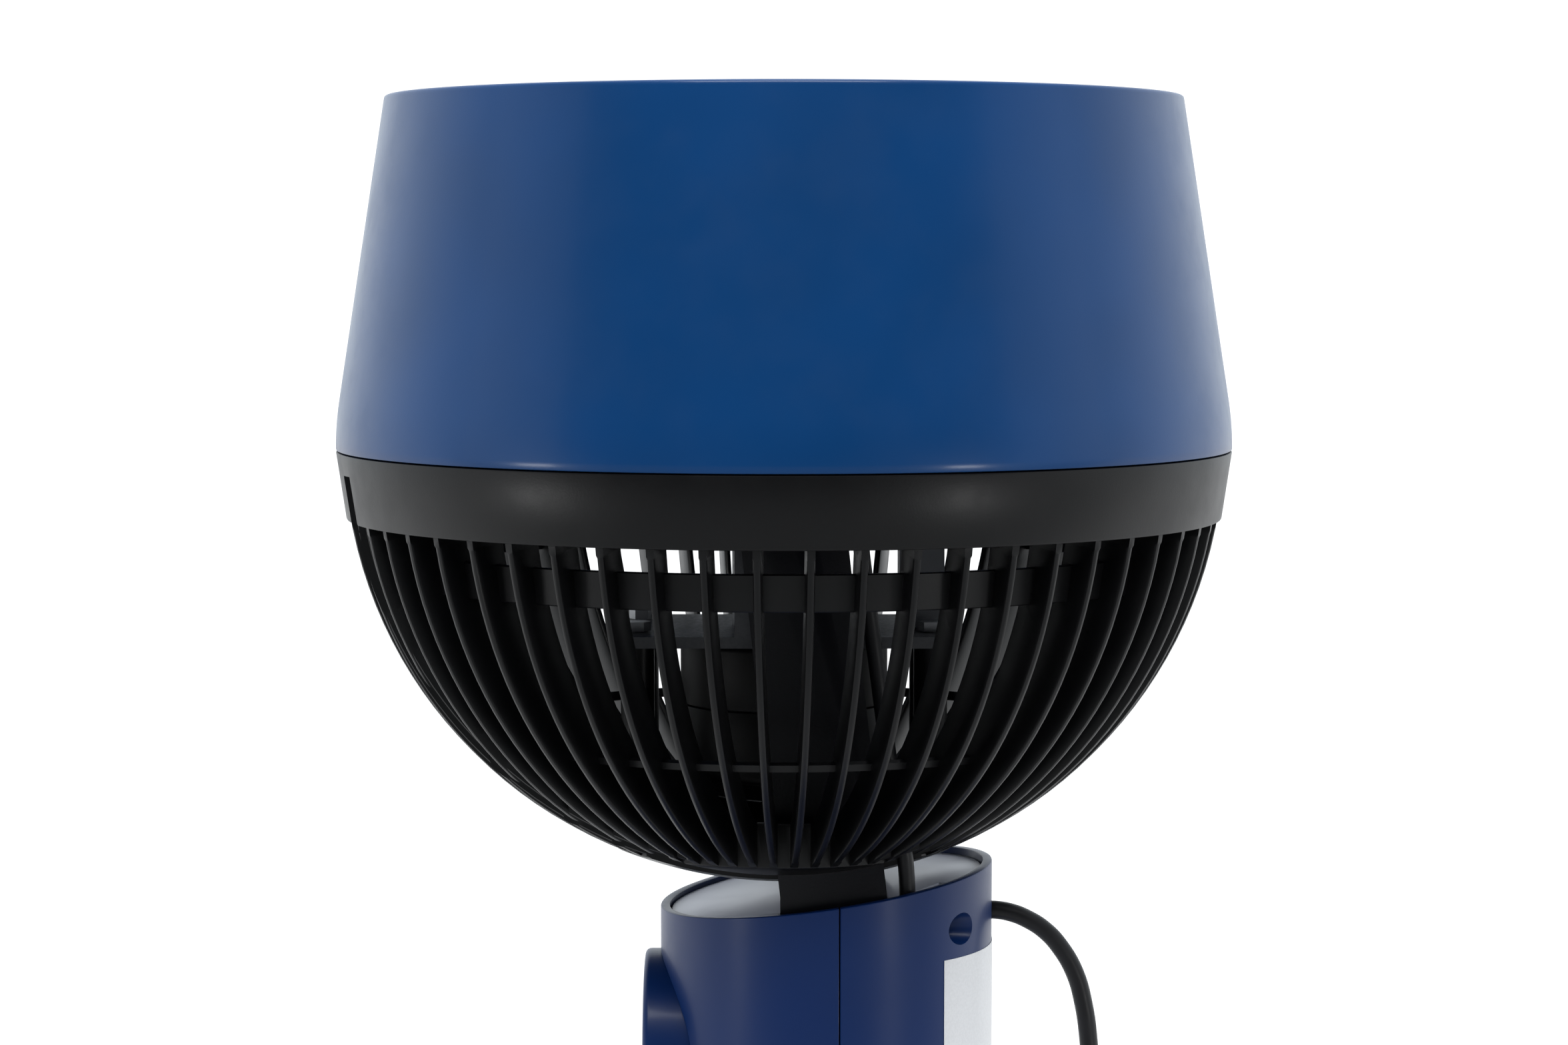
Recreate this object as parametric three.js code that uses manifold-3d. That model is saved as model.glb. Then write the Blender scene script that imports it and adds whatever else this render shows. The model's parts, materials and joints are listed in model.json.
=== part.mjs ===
// An air circulator fan. A round head with a ball-shaped rear grille tilts on a two-pronged
// fork, which rises out of a column on a weighted round base.
// Millimetres, +Z up. The origin is on the table, straight below the middle of the head.
// -Y is the front, where the speed dial is. At rest the head blows straight up.

import * as THREE from "three";
import { mergeVertices } from "three/addons/utils/BufferGeometryUtils.js";
import Module from "manifold-3d";

const wasm = await Module();
wasm.setup();

// ---------------------------------------------------------------------------
// Driving dimensions
// ---------------------------------------------------------------------------

const TOUCH_GAP = 0.3; // between pieces that touch, and round a pin in its hole

// Head: heights here are measured from the tilt axis, which is the centre of the ball
const PIVOT_HEIGHT = 275; // tilt axis above the table
const SEAM_RADIUS = 120; // the widest place, where the outlet shroud meets the rear grille
const SEAM_DROP = 1.5; // that seam below the tilt axis
const RIM_RADIUS = 106.6; // the outlet shroud's open end
const RIM_HEIGHT = 92.2;
const SKIRT_HEIGHT = 5; // where the shroud's upright skirt would meet its cone
const SHROUD_WALL = 2.4;
const RIM_EDGE_RADIUS = 1.2;
const SPIGOT_HEIGHT = 4; // the rear grille's collar that the shroud slips over
const SPIGOT_WALL = 3.2;

const GRILLE_RECESS = 7; // outlet rim to the front grille's face
const VANE_HEIGHT = 5;
const VANE_INSET = 0.5; // the hub and the rim stand this far proud of the vanes
const VANE_THICKNESS = 1.8;
const VANE_COUNT = 26;
const VANE_SWEEP = 4; // how many vane pitches a vane turns through on its way outwards
const FRONT_RING_WALL = 2.5;
const FRONT_HUB_RADIUS = 24;
const FRONT_HUB_WALL = 2;
const FRONT_HUB_FLOOR = 3.5;
const BADGE_THICKNESS = 2;
const LEDGE_WIDTH = 3; // the shroud's inner ledge that carries the front grille

const BAND_HEIGHT = 18.2; // the rear grille's smooth band, below the seam
const BAND_PROUD = 2; // band beyond the ball
const BAND_WALL = 4;
const RIB_COUNT = 56;
const RIB_THICKNESS = 2;
const RIB_DEPTH = 10.5;
const WIDE_RING_DROP = 26.4;
const WIDE_RING_HEIGHT = 9.4;
const NARROW_RING_DROP = 75.9;
const NARROW_RING_HEIGHT = 2.6;
const RING_WALL = 2;
const RING_INSET = 5.5; // outer edge of the rings below the ball's surface
const POLE_CAP_RADIUS = 47;
const POLE_CAP_WALL = 3;
const SLOT_FRONT_ANGLE = 86.3; // degrees from straight down, towards the front
const SLOT_REAR_ANGLE = 20;
const SLOT_SIDE_GAP = 0.5; // each side of a prong
const RAIL_THICKNESS = 2; // the walls along the slots
const RAIL_RECESS = 0.5; // the ribs stand this far proud of them

// Motor and impeller
const WEB_DROP = 50; // top face of the bracket's web, below the tilt axis
const WEB_THICKNESS = 3;
const WEB_HALF_LENGTH = 44;
const EAR_THICKNESS = 3;
const EAR_RADIUS = 13;
const POST_X = 16;
const POST_Y = 39;
const POST_RADIUS = 4.5;
const BEARING_TUBE_RADIUS = 14;
const BEARING_TUBE_TOP = -12; // below the tilt axis
const SHAFT_RADIUS = 4;
const BUSHING_WALL = 4.9;
const BUSHING_LENGTH = 12;
const MOTOR_SIDE_GAP = 3.5; // motor to prong
const MOTOR_LENGTH = 37;
const MOTOR_FRONT_LENGTH = 17; // the front one of its two shells
const MOTOR_WALL = 2;
const STATOR_GAP = 2.6; // stator to the rear bushing's pocket
const AIR_GAP = 0.5;
const STATOR_LENGTH = 26;
const ROTOR_LENGTH = 18;
const CAPACITOR_SIZE = [19, 12, 22.5];

const HUB_RADIUS = 24;
const HUB_WALL = 2.2;
const HUB_BOSS_RADIUS = 8;
const IMPELLER_LOW = 19; // above the tilt axis
const IMPELLER_HEIGHT = 39;
const BLADE_COUNT = 5;
const BLADE_SPAN_COUNT = 3; // faces from a blade's root to its tip
const BLADE_CHORD_COUNT = 4; // faces from its leading to its trailing edge
const BLADE_THICKNESS = 2.2;
const TIP_GAP = 7; // blade tip to the shroud
const SPINNER_RADIUS = 9;
const SPINNER_HEIGHT = 8;

// Fork
const PRONG_THICKNESS = 7;
const PRONG_END_RADIUS = 14; // round top end, and half the width
const FORK_SIDE_GAP = 4; // prong to the column's inner wall
const FORK_SHIFT = 1.5; // the fork's foot behind the column's axis
const PRONG_FLANGE_LENGTH = 20.5;
const PRONG_FLANGE_THICKNESS = 4;
const FOOT_HEIGHT = 27;
const PIN_RADIUS = 4;
const PIN_HEAD_RADIUS = 8;
const PIN_HEAD_THICKNESS = 3;
const NUT_RADIUS = 7;
const NUT_THICKNESS = 4;
const WASHER_THICKNESS = 0.9;
const WASHER_RADIUS = 9;

// Column
const COLUMN_RADIUS = 45;
const COLUMN_WALL = 2.5;
const COLUMN_SET_BACK = 11.5; // column axis behind the tilt axis
const COLUMN_SEAM_Y = 3; // the two shells meet this far behind the column's axis
const RIM_SLANT = 8; // degrees, the column's rim is higher at the rear
const HEAD_GAP = 1.7; // head to the column's cap
const CAP_RECESS = 1.5; // cap below the column's rim
const CAP_THICKNESS = 2;
const CAP_EDGE_GAP = 0.6;
const LEAD_NOTCH_WIDTH = 6.6; // of the curved notch in the cap that the motor lead drops through
const SCREW_DROP = 8.1; // upper screws and cord outlet, below the rim at the column's axis
const LOWER_SCREW_HEIGHT = 20; // above the column's foot
const RECESS_RADIUS = 4.25; // the round holes that the column's screws sit in
const RECESS_WALL = 1.2;
const SCREW_RADIUS = 1.5;
const SCREW_HEAD_RADIUS = 3.6;
const SCREW_HEAD_HEIGHT = 2.5;
const LUG_RADIUS = 3;
const UPPER_SCREW_LENGTH = 11;
const LOWER_SCREW_LENGTH = 28;
const LOWER_BOSS_DEPTH = 15; // where the lower bosses meet, in front of the screws' heads
const LUG_INSET = 1.1; // lug to the fork's inner face
const BOSS_RADIUS = 4;

// Speed dial and its switch
const DIAL_RADIUS = 26.4;
const DIAL_PROUD = 4.3; // beyond the front of the column
const DIAL_LENGTH = 19.8;
const DIAL_WALL = 2;
const DIAL_EDGE = 1.5;
const DIAL_GAP = 0.6;
const DIAL_DROP = 45.5; // dial axis below the rim at the column's axis
const DIAL_HUB_RADIUS = 6;
const SWITCH_SIZE = 25;
const SWITCH_DEPTH = 10.9;
const SWITCH_SHAFT_RADIUS = 3;
const BUSHING_RADIUS = 4.7; // the switch's threaded neck
const BRIDGE_THICKNESS = 2.3;
const BRIDGE_WIDTH = 16;
const BRIDGE_LEG = 5;

// Base
const BASE_RADIUS = 95;
const BASE_HEIGHT = 30; // table to the column's foot
const BASE_WALL = 2.5;
const BASE_EDGE_HEIGHT = 8;
const BASE_DOME_HEIGHT = 16;
const BASE_PLATE_THICKNESS = 3;
const BASE_SPIGOT_HEIGHT = 8;
const FOOT_PAD_HEIGHT = 3;
const FOOT_PAD_RADIUS = 8;
const FOOT_PAD_INSET = 16; // middle of a foot pad inside the base's edge
const BALLAST_THICKNESS = 5;
const BASE_SCREW_INSET = 23;
const BALLAST_GAP = 6; // ballast to the bosses of the base's screws

// Cords
const CORD_RADIUS = 2.5;
const LEAD_RADIUS = 2.2;
const GLAND_RADIUS = 4.2;
const GLAND_LENGTH = 20;
const COIL_INNER_RADIUS = 22;
const COIL_PITCH = 5.5;
const TURNS_PER_LAYER = 3;
const COIL_TUCK = 0.9; // how much tighter the coil's climbing half turn is
const COIL_CENTRE_Y = 163;
const COIL_TAIL = 25; // the straight end that runs past the coil to the plug
const PLUG_LENGTH = 36;
const PLUG_PIN_RADIUS = 2;
const PLUG_PIN_LENGTH = 19;
const PLUG_PIN_SPACING = 19;

// Faces
const HEAD_SIDES = 40; // of the outlet shroud and the rear grille's band
const BODY_SIDES = 28; // of the column and the base
const DIAL_SIDES = 20;
const HUB_SIDES = 18; // of the impeller's hub and the badge in front of it
const MOTOR_SIDES = 14;
const PIN_SIDES = 10; // of pins, posts and bosses
const SCREW_SIDES = 6;

// ---------------------------------------------------------------------------
// Sizes that follow from the driving ones
// ---------------------------------------------------------------------------

const BALL_RADIUS = SEAM_RADIUS - BAND_PROUD;
const COLUMN_BORE = COLUMN_RADIUS - COLUMN_WALL;
const PRONG_OUTER = COLUMN_BORE - FORK_SIDE_GAP;
const PRONG_INNER = PRONG_OUTER - PRONG_THICKNESS;
const EAR_OUTER = PRONG_INNER - WASHER_THICKNESS - 2 * TOUCH_GAP;
const EAR_INNER = EAR_OUTER - EAR_THICKNESS;
const MOTOR_RADIUS = PRONG_INNER - MOTOR_SIDE_GAP;
const MOTOR_TOP = -(WEB_DROP + WEB_THICKNESS + TOUCH_GAP);
const SCREW_X = PRONG_INNER - LUG_INSET - LUG_RADIUS;
const SCREW_HOLE = SCREW_RADIUS + TOUCH_GAP;
const SLANT = THREE.MathUtils.degToRad(RIM_SLANT);
const CAP_DISTANCE = SEAM_RADIUS + HEAD_GAP; // tilt axis to the cap's plane

// The height of the slanted plane that lies a distance below the tilt axis, over a place y.
const slantedHeight = (distance, y) =>
  PIVOT_HEIGHT - distance / Math.cos(SLANT) + y * Math.tan(SLANT);

const COLUMN_TOP = slantedHeight(CAP_DISTANCE - CAP_RECESS, COLUMN_SET_BACK);
const COLUMN_FOOT = BASE_HEIGHT + TOUCH_GAP;
const COLUMN_FRONT_Y = COLUMN_SET_BACK - COLUMN_RADIUS;
const COLUMN_REAR_Y = COLUMN_SET_BACK + COLUMN_RADIUS;
const FORK_Y = COLUMN_SET_BACK + FORK_SHIFT; // middle of the fork's foot
const FORK_FRONT_Y = FORK_Y - PRONG_END_RADIUS;
const FORK_REAR_Y = FORK_Y + PRONG_END_RADIUS;
const SCREW_Z = COLUMN_TOP - SCREW_DROP;
const LOWER_SCREW_Z = COLUMN_FOOT + LOWER_SCREW_HEIGHT;
const FOOT_TOP = SCREW_Z + SCREW_HOLE + 0.5;
const FOOT_BOTTOM = FOOT_TOP - FOOT_HEIGHT;
const FOOT_REAR_Y = FORK_REAR_Y + 0.7;
const LUG_END_Y = FOOT_REAR_Y + 9;
const RECESS_FLOOR_Y = LUG_END_Y + 3.3; // where a column screw's head seats
const FORK_SCREW_Z = FOOT_BOTTOM + 10.8;
const FORK_SCREW_X = SCREW_X - 3.4;
const DIAL_Z = COLUMN_TOP - DIAL_DROP;
const DIAL_FRONT_Y = COLUMN_FRONT_Y - DIAL_PROUD;
const BRIDGE_FRONT_Y = DIAL_FRONT_Y + DIAL_LENGTH + 4;
const BRIDGE_BACK_Y = BRIDGE_FRONT_Y + BRIDGE_THICKNESS;
const BASE_BOTTOM = FOOT_PAD_HEIGHT + TOUCH_GAP;
const BASE_PLATE_TOP = BASE_BOTTOM + BASE_PLATE_THICKNESS;
const FOOT_PAD_CIRCLE = BASE_RADIUS - FOOT_PAD_INSET;
const BASE_SCREW_CIRCLE = BASE_RADIUS - BASE_SCREW_INSET;
const BALLAST_RADIUS = BASE_SCREW_CIRCLE - BOSS_RADIUS - BALLAST_GAP;
const BALLAST_LOW = BASE_PLATE_TOP + TOUCH_GAP;
const LAYER_LOW = CORD_RADIUS + 0.1; // cord centre above the table
const LAYER_HIGH = LAYER_LOW + COIL_PITCH;
const COIL_OUTER_RADIUS = COIL_INNER_RADIUS + TURNS_PER_LAYER * COIL_PITCH;

// ---------------------------------------------------------------------------
// Shapes
// ---------------------------------------------------------------------------

const radians = THREE.MathUtils.degToRad;
const point = (x, y, z) => new THREE.Vector3(x, y, z);

// A closed geometry as a solid that can be joined and cut, with its faces turned outwards.
function solidOf(geometry) {
  const bare = geometry.clone();
  bare.deleteAttribute("normal");
  bare.deleteAttribute("uv");
  const merged = mergeVertices(bare, 1e-4);
  const at = merged.getAttribute("position");
  const corners = [point(0, 0, 0), point(0, 0, 0), point(0, 0, 0)];
  const faces = [];
  let volume = 0;
  for (let i = 0; i < merged.index.count; i += 3) {
    const face = [0, 1, 2].map((k) => merged.index.getX(i + k));
    if (face[0] === face[1] || face[1] === face[2] || face[2] === face[0]) continue;
    corners.forEach((corner, k) => corner.fromBufferAttribute(at, face[k]));
    volume += corners[0].dot(corners[1].clone().cross(corners[2]));
    faces.push(face);
  }
  if (volume < 0) faces.forEach((face) => face.reverse());
  return new wasm.Manifold(
    new wasm.Mesh({
      numProp: 3,
      vertProperties: new Float32Array(at.array),
      triVerts: new Uint32Array(faces.flat()),
    }),
  );
}

function geometryOf(solid) {
  const mesh = solid.getMesh();
  const geometry = new THREE.BufferGeometry();
  geometry.setAttribute("position", new THREE.BufferAttribute(mesh.vertProperties.slice(), 3));
  geometry.setIndex(new THREE.BufferAttribute(mesh.triVerts.slice(), 1));
  geometry.computeVertexNormals();
  return geometry;
}

const join = (solids) => solids.reduce((whole, next) => whole.add(next));

// A closed [radius, height] profile turned round the Z axis.
function turned(profile, sides) {
  const points = profile.map(([r, z]) => new THREE.Vector2(r, z));
  if (profile[0][0] > 0) points.push(points[0].clone());
  return new THREE.LatheGeometry(points, sides).rotateX(Math.PI / 2);
}

const disc = (radius, low, high, sides = PIN_SIDES) =>
  turned([[0, low], [radius, low], [radius, high], [0, high]], sides);

const ring = (inner, outer, low, high, sides = PIN_SIDES) =>
  turned([[inner, low], [outer, low], [outer, high], [inner, high]], sides);

// The radius of the circle that touches a faceted wall's flats.
const withinFacets = (radius, sides) => radius * Math.cos(Math.PI / sides);

// Round bars along Y (+Y is up the profile) and along X.
const facingRear = (geometry) => geometry.rotateX(-Math.PI / 2);
const facingRight = (geometry) => geometry.rotateY(Math.PI / 2);

function block([x0, x1], [y0, y1], [z0, z1]) {
  const box = new THREE.BoxGeometry(x1 - x0, y1 - y0, z1 - z0);
  return box.translate((x0 + x1) / 2, (y0 + y1) / 2, (z0 + z1) / 2);
}

const extruded = (shape, depth, curveSegments = 8) =>
  new THREE.ExtrudeGeometry(shape, { depth, curveSegments, bevelEnabled: false });

// A shape drawn in (y, z) and extruded from x0 to x1.
function plateAcrossX(shape, x0, x1, curveSegments) {
  const axes = new THREE.Matrix4().makeBasis(point(0, 1, 0), point(0, 0, 1), point(1, 0, 0));
  return extruded(shape, x1 - x0, curveSegments).applyMatrix4(axes).translate(x0, 0, 0);
}

// Points on an arc round the origin, from one angle to another.
function arc(radius, from, to, steps) {
  return Array.from({ length: steps + 1 }, (_, i) => {
    const angle = from + ((to - from) * i) / steps;
    return [radius * Math.cos(angle), radius * Math.sin(angle)];
  });
}

const outline = (points) => new THREE.Shape(points.map(([x, y]) => new THREE.Vector2(x, y)));

function polygonShape(radius, sides) {
  const corners = arc(radius, 0, 2 * Math.PI, sides).slice(0, sides);
  return outline(corners);
}

// A round tube of even thickness along a curve.
function tube(curve, radius, sides, steps) {
  const section = polygonShape(radius, sides);
  return new THREE.ExtrudeGeometry(section, { steps, extrudePath: curve, bevelEnabled: false });
}

// ---------------------------------------------------------------------------
// Finishes
// ---------------------------------------------------------------------------

const finish = (color, roughness, metalness = 0) => ({ color, roughness, metalness });
const BLUE = finish(0x0f3f74, 0.32);
const BLACK = finish(0x1b1c1f, 0.5);
const SILVER = finish(0xaeb1b5, 0.4, 0.3);
const STEEL = finish(0xb5b8bb, 0.3, 1);
const ALUMINIUM = finish(0x9a9c9f, 0.45, 1);
const BRASS = finish(0xb08d4b, 0.35, 1);
const GREY = finish(0x55585c, 0.5);
const WHITE = finish(0xd8dadb, 0.45);
const RUBBER = finish(0x17181a, 0.85);

function part(group, name, shape, look) {
  const geometry = geometryOf(shape instanceof wasm.Manifold ? shape : solidOf(shape));
  const mesh = new THREE.Mesh(geometry, new THREE.MeshStandardMaterial(look));
  mesh.name = name;
  group.add(mesh);
  return mesh;
}

// ---------------------------------------------------------------------------
// Outlet shroud
// ---------------------------------------------------------------------------

const CONE_SLOPE = (SEAM_RADIUS - RIM_RADIUS) / (RIM_HEIGHT - SKIRT_HEIGHT);
const shroudOuterRadius = (z) => RIM_RADIUS + CONE_SLOPE * (RIM_HEIGHT - z);
const shroudInnerRadius = (z) => shroudOuterRadius(z) - SHROUD_WALL;
const GRILLE_TOP = RIM_HEIGHT - GRILLE_RECESS;
const GRILLE_BOTTOM = GRILLE_TOP - VANE_HEIGHT - 2 * VANE_INSET;

function outletShroud() {
  const skirtLength = SKIRT_HEIGHT + SEAM_DROP;
  const coneStart = SKIRT_HEIGHT + skirtLength;
  const shoulder = new THREE.QuadraticBezierCurve(
    new THREE.Vector2(SEAM_RADIUS, -SEAM_DROP),
    new THREE.Vector2(SEAM_RADIUS, SKIRT_HEIGHT),
    new THREE.Vector2(shroudOuterRadius(coneStart), coneStart),
  );
  const outer = shoulder.getPoints(2).map((p) => [p.x, p.y]);
  const inner = [SKIRT_HEIGHT, -SEAM_DROP].map((z) => [SEAM_RADIUS - SHROUD_WALL, z]);
  const edge = arc(RIM_EDGE_RADIUS, 0, Math.PI, 2).map(([x, z]) => [
    RIM_RADIUS - RIM_EDGE_RADIUS + x,
    RIM_HEIGHT - RIM_EDGE_RADIUS + z,
  ]);
  const ledgeTop = GRILLE_BOTTOM - TOUCH_GAP;
  const ledgeInner = shroudInnerRadius(ledgeTop) - LEDGE_WIDTH;
  const ledgeFoot = ledgeTop - 2 * LEDGE_WIDTH;
  const ledge = [
    [shroudInnerRadius(ledgeTop), ledgeTop],
    [ledgeInner, ledgeTop],
    [shroudInnerRadius(ledgeFoot), ledgeFoot],
  ];
  return turned([...outer, ...edge, ...ledge, ...inner], HEAD_SIDES);
}

// ---------------------------------------------------------------------------
// Front grille: a dished hub, and curved vanes that run out to a rim
// ---------------------------------------------------------------------------

const FRONT_HUB_SIDES = VANE_COUNT / 2;

// One vane, bent along a spiral from one radius to another, seen from above.
function vaneShape(inner, outer) {
  const steps = 3;
  const sweep = (VANE_SWEEP * 2 * Math.PI) / VANE_COUNT;
  const sides = [1, -1].map((side) =>
    Array.from({ length: steps + 1 }, (_, i) => {
      const share = i / steps;
      const radius = inner + (outer - inner) * share;
      const angle = sweep * share + (side * VANE_THICKNESS) / 2 / radius;
      return [radius * Math.cos(angle), radius * Math.sin(angle)];
    }),
  );
  return outline([...sides[0].reverse(), ...sides[1]]);
}

function frontGrille() {
  const outer = withinFacets(shroudInnerRadius(GRILLE_TOP), HEAD_SIDES) - TOUCH_GAP;
  const rim = ring(outer - FRONT_RING_WALL, outer, GRILLE_BOTTOM, GRILLE_TOP, VANE_COUNT);
  const hub = turned(
    [
      [0, GRILLE_BOTTOM],
      [FRONT_HUB_RADIUS, GRILLE_BOTTOM],
      [FRONT_HUB_RADIUS, GRILLE_TOP],
      [FRONT_HUB_RADIUS - FRONT_HUB_WALL, GRILLE_TOP],
      [FRONT_HUB_RADIUS - FRONT_HUB_WALL, GRILLE_BOTTOM + FRONT_HUB_FLOOR],
      [0, GRILLE_BOTTOM + FRONT_HUB_FLOOR],
    ],
    FRONT_HUB_SIDES,
  );
  // Each vane starts inside the hub's wall and ends inside the rim's.
  const shape = vaneShape(FRONT_HUB_RADIUS - FRONT_HUB_WALL / 2, outer - FRONT_RING_WALL / 2);
  const vanes = Array.from({ length: VANE_COUNT }, (_, i) => {
    const vane = extruded(shape, VANE_HEIGHT).translate(0, 0, GRILLE_BOTTOM + VANE_INSET);
    return solidOf(vane.rotateZ((2 * Math.PI * i) / VANE_COUNT));
  });
  return join([solidOf(rim), solidOf(hub), ...vanes]);
}

// The plain round badge that lies in the grille's hub.
function grilleBadge() {
  const radius = withinFacets(FRONT_HUB_RADIUS - FRONT_HUB_WALL, FRONT_HUB_SIDES) - TOUCH_GAP;
  const low = GRILLE_BOTTOM + FRONT_HUB_FLOOR + TOUCH_GAP;
  const crown = low + BADGE_THICKNESS;
  return turned(
    [[0, low], [radius, low], [radius, crown - 0.7], [radius * 0.8, crown], [0, crown + 0.4]],
    HUB_SIDES,
  );
}

// ---------------------------------------------------------------------------
// Rear grille: a band, upright ribs bent to a ball, and two slots for the fork's prongs
// ---------------------------------------------------------------------------

const BAND_TOP = -SEAM_DROP - TOUCH_GAP;
const BAND_BOTTOM = BAND_TOP - BAND_HEIGHT;

// The ball's radius at a depth below the tilt axis, less a depth below its surface.
const ballRadiusAt = (z, inset = 0) => Math.sqrt((BALL_RADIUS - inset) ** 2 - z * z);

// The band, whose lower edge turns in as a flange that the ribs grow from.
function grilleBand() {
  const spigotOuter = withinFacets(SEAM_RADIUS - SHROUD_WALL, HEAD_SIDES) - TOUCH_GAP;
  const spigotInner = spigotOuter - SPIGOT_WALL;
  const lowOuter = ballRadiusAt(BAND_BOTTOM) + BAND_PROUD / 2;
  const lowInner = ballRadiusAt(BAND_BOTTOM, RIB_DEPTH) - 1;
  return turned(
    [
      [lowInner, BAND_BOTTOM],
      [lowOuter, BAND_BOTTOM],
      [SEAM_RADIUS, BAND_TOP],
      [spigotOuter, BAND_TOP],
      [spigotOuter, SPIGOT_HEIGHT],
      [spigotInner, SPIGOT_HEIGHT],
      [spigotInner, BAND_BOTTOM + BAND_WALL],
      [lowInner, BAND_BOTTOM + BAND_WALL],
    ],
    HEAD_SIDES,
  );
}

function ballRibs() {
  const level = -BAND_BOTTOM - BAND_WALL / 2; // inside the flange
  const end = POLE_CAP_RADIUS - RING_WALL / 2; // inside the cap's rim
  const edge = (radius, steps) =>
    arc(radius, -Math.acos(end / radius), -Math.asin(level / radius), steps);
  const shape = outline([
    ...edge(BALL_RADIUS, 4),
    ...edge(BALL_RADIUS - RIB_DEPTH, 2).reverse(),
  ]);
  return Array.from({ length: RIB_COUNT }, (_, i) => {
    const rib = extruded(shape, RIB_THICKNESS).translate(0, 0, -RIB_THICKNESS / 2);
    return rib.rotateX(Math.PI / 2).rotateZ((2 * Math.PI * i) / RIB_COUNT);
  });
}

// The two rings inside the ribs' depth that tie them together: a wide flat one near the
// band, and a narrow one with an edge to the outside near the pole.
function wideRing() {
  const low = WIDE_RING_DROP + WIDE_RING_HEIGHT;
  const outer = ballRadiusAt(low, RING_INSET);
  return ring(outer - RING_WALL, outer, -low, -WIDE_RING_DROP, RIB_COUNT);
}

function narrowRing() {
  const middle = NARROW_RING_DROP + NARROW_RING_HEIGHT / 2;
  const outer = ballRadiusAt(middle, RING_INSET);
  const inner = outer - RING_WALL;
  return turned(
    [
      [outer, -middle],
      [inner, -middle + NARROW_RING_HEIGHT / 2],
      [inner, -middle - NARROW_RING_HEIGHT / 2],
    ],
    RIB_COUNT,
  );
}

// The closed cap at the ball's pole, with a deeper rim that the ribs run into.
function poleCap() {
  const edge = -Math.acos(POLE_CAP_RADIUS / BALL_RADIUS);
  const height = BALL_RADIUS * Math.sin(edge);
  const proud = 0.4;
  return turned(
    [
      ...arc(BALL_RADIUS, -Math.PI / 2, edge, 2).map(([r, z], i) => [i ? r : 0, z - proud]),
      [POLE_CAP_RADIUS, height + RIB_DEPTH + 1],
      [POLE_CAP_RADIUS - RING_WALL, height + RIB_DEPTH + 1],
      [POLE_CAP_RADIUS - RING_WALL, height + 1],
      [0, -BALL_RADIUS + POLE_CAP_WALL],
    ],
    RIB_COUNT / 2,
  );
}

// Part of a ring in the (y, z) plane, between two angles from straight down.
function sector(inner, outer, frontAngle, rearAngle, steps) {
  const from = -Math.PI / 2 - radians(frontAngle);
  const to = -Math.PI / 2 + radians(rearAngle);
  return outline([...arc(outer, from, to, steps), ...arc(inner, to, from, steps)]);
}

// The posts inside the pole cap that the motor's bracket is screwed to.
function bracketPosts() {
  const top = MOTOR_TOP;
  const foot = -ballRadiusAt(Math.hypot(POST_X, POST_Y), POLE_CAP_WALL / 2);
  const profile = [
    [0, foot],
    [POST_RADIUS, foot],
    [POST_RADIUS, top],
    [SCREW_HOLE, top],
    [SCREW_HOLE, top - 14],
    [0, top - 14],
  ];
  return postPlaces().map(([x, y]) => solidOf(turned(profile, PIN_SIDES).translate(x, y, 0)));
}

const postPlaces = () => [1, -1].flatMap((sx) => [1, -1].map((sy) => [sx * POST_X, sy * POST_Y]));

function rearGrille() {
  const slotInner = PRONG_INNER - SLOT_SIDE_GAP;
  const slotOuter = PRONG_OUTER + SLOT_SIDE_GAP;
  const railSteps = 6;
  const ballAt = (x) => Math.sqrt(BALL_RADIUS ** 2 - x * x); // the ball's radius in the plane at x
  const round = [grilleBand(), poleCap(), wideRing(), narrowRing(), ...ballRibs()];
  // No rib lies straight ahead or at the side: they all turn by half a pitch.
  let grille = join(round.map((geometry) => solidOf(geometry.rotateZ(Math.PI / RIB_COUNT))));
  const endAngle = RAIL_THICKNESS / radians(1) / BALL_RADIUS; // a rail's thickness, in degrees
  const frontEnd = SLOT_FRONT_ANGLE + endAngle;
  const rearEnd = SLOT_REAR_ANGLE + endAngle;
  const slotCut = (ball) =>
    sector(ball - 1.7 * RIB_DEPTH, SEAM_RADIUS + 5, SLOT_FRONT_ANGLE, SLOT_REAR_ANGLE, 4);
  for (const side of [1, -1]) {
    const across = (a, b) => (side > 0 ? [a, b] : [-b, -a]);
    const strip = (shape, a, b) => solidOf(plateAcrossX(shape, ...across(a, b)));
    const rail = (a, b) => {
      const outer = ballAt(b) - RAIL_RECESS;
      return strip(sector(outer - RIB_DEPTH, outer, frontEnd, rearEnd, railSteps), a, b);
    };
    grille = grille
      .add(rail(slotInner - RAIL_THICKNESS, slotInner))
      .add(rail(slotOuter, slotOuter + RAIL_THICKNESS));
    const endOuter = ballAt(slotOuter) - 2 * RAIL_RECESS;
    const endWall = sector(endOuter - RIB_DEPTH, endOuter, -SLOT_REAR_ANGLE, rearEnd, 1);
    grille = grille
      .add(strip(endWall, slotInner - RAIL_THICKNESS / 2, slotOuter + RAIL_THICKNESS / 2))
      .subtract(strip(slotCut(ballAt(slotOuter)), slotInner, slotOuter));
  }
  return join([grille, ...bracketPosts()]);
}

// ---------------------------------------------------------------------------
// Tilt bracket: a web under the bearing tube and two ears that hang on the pivots
// ---------------------------------------------------------------------------

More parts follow.
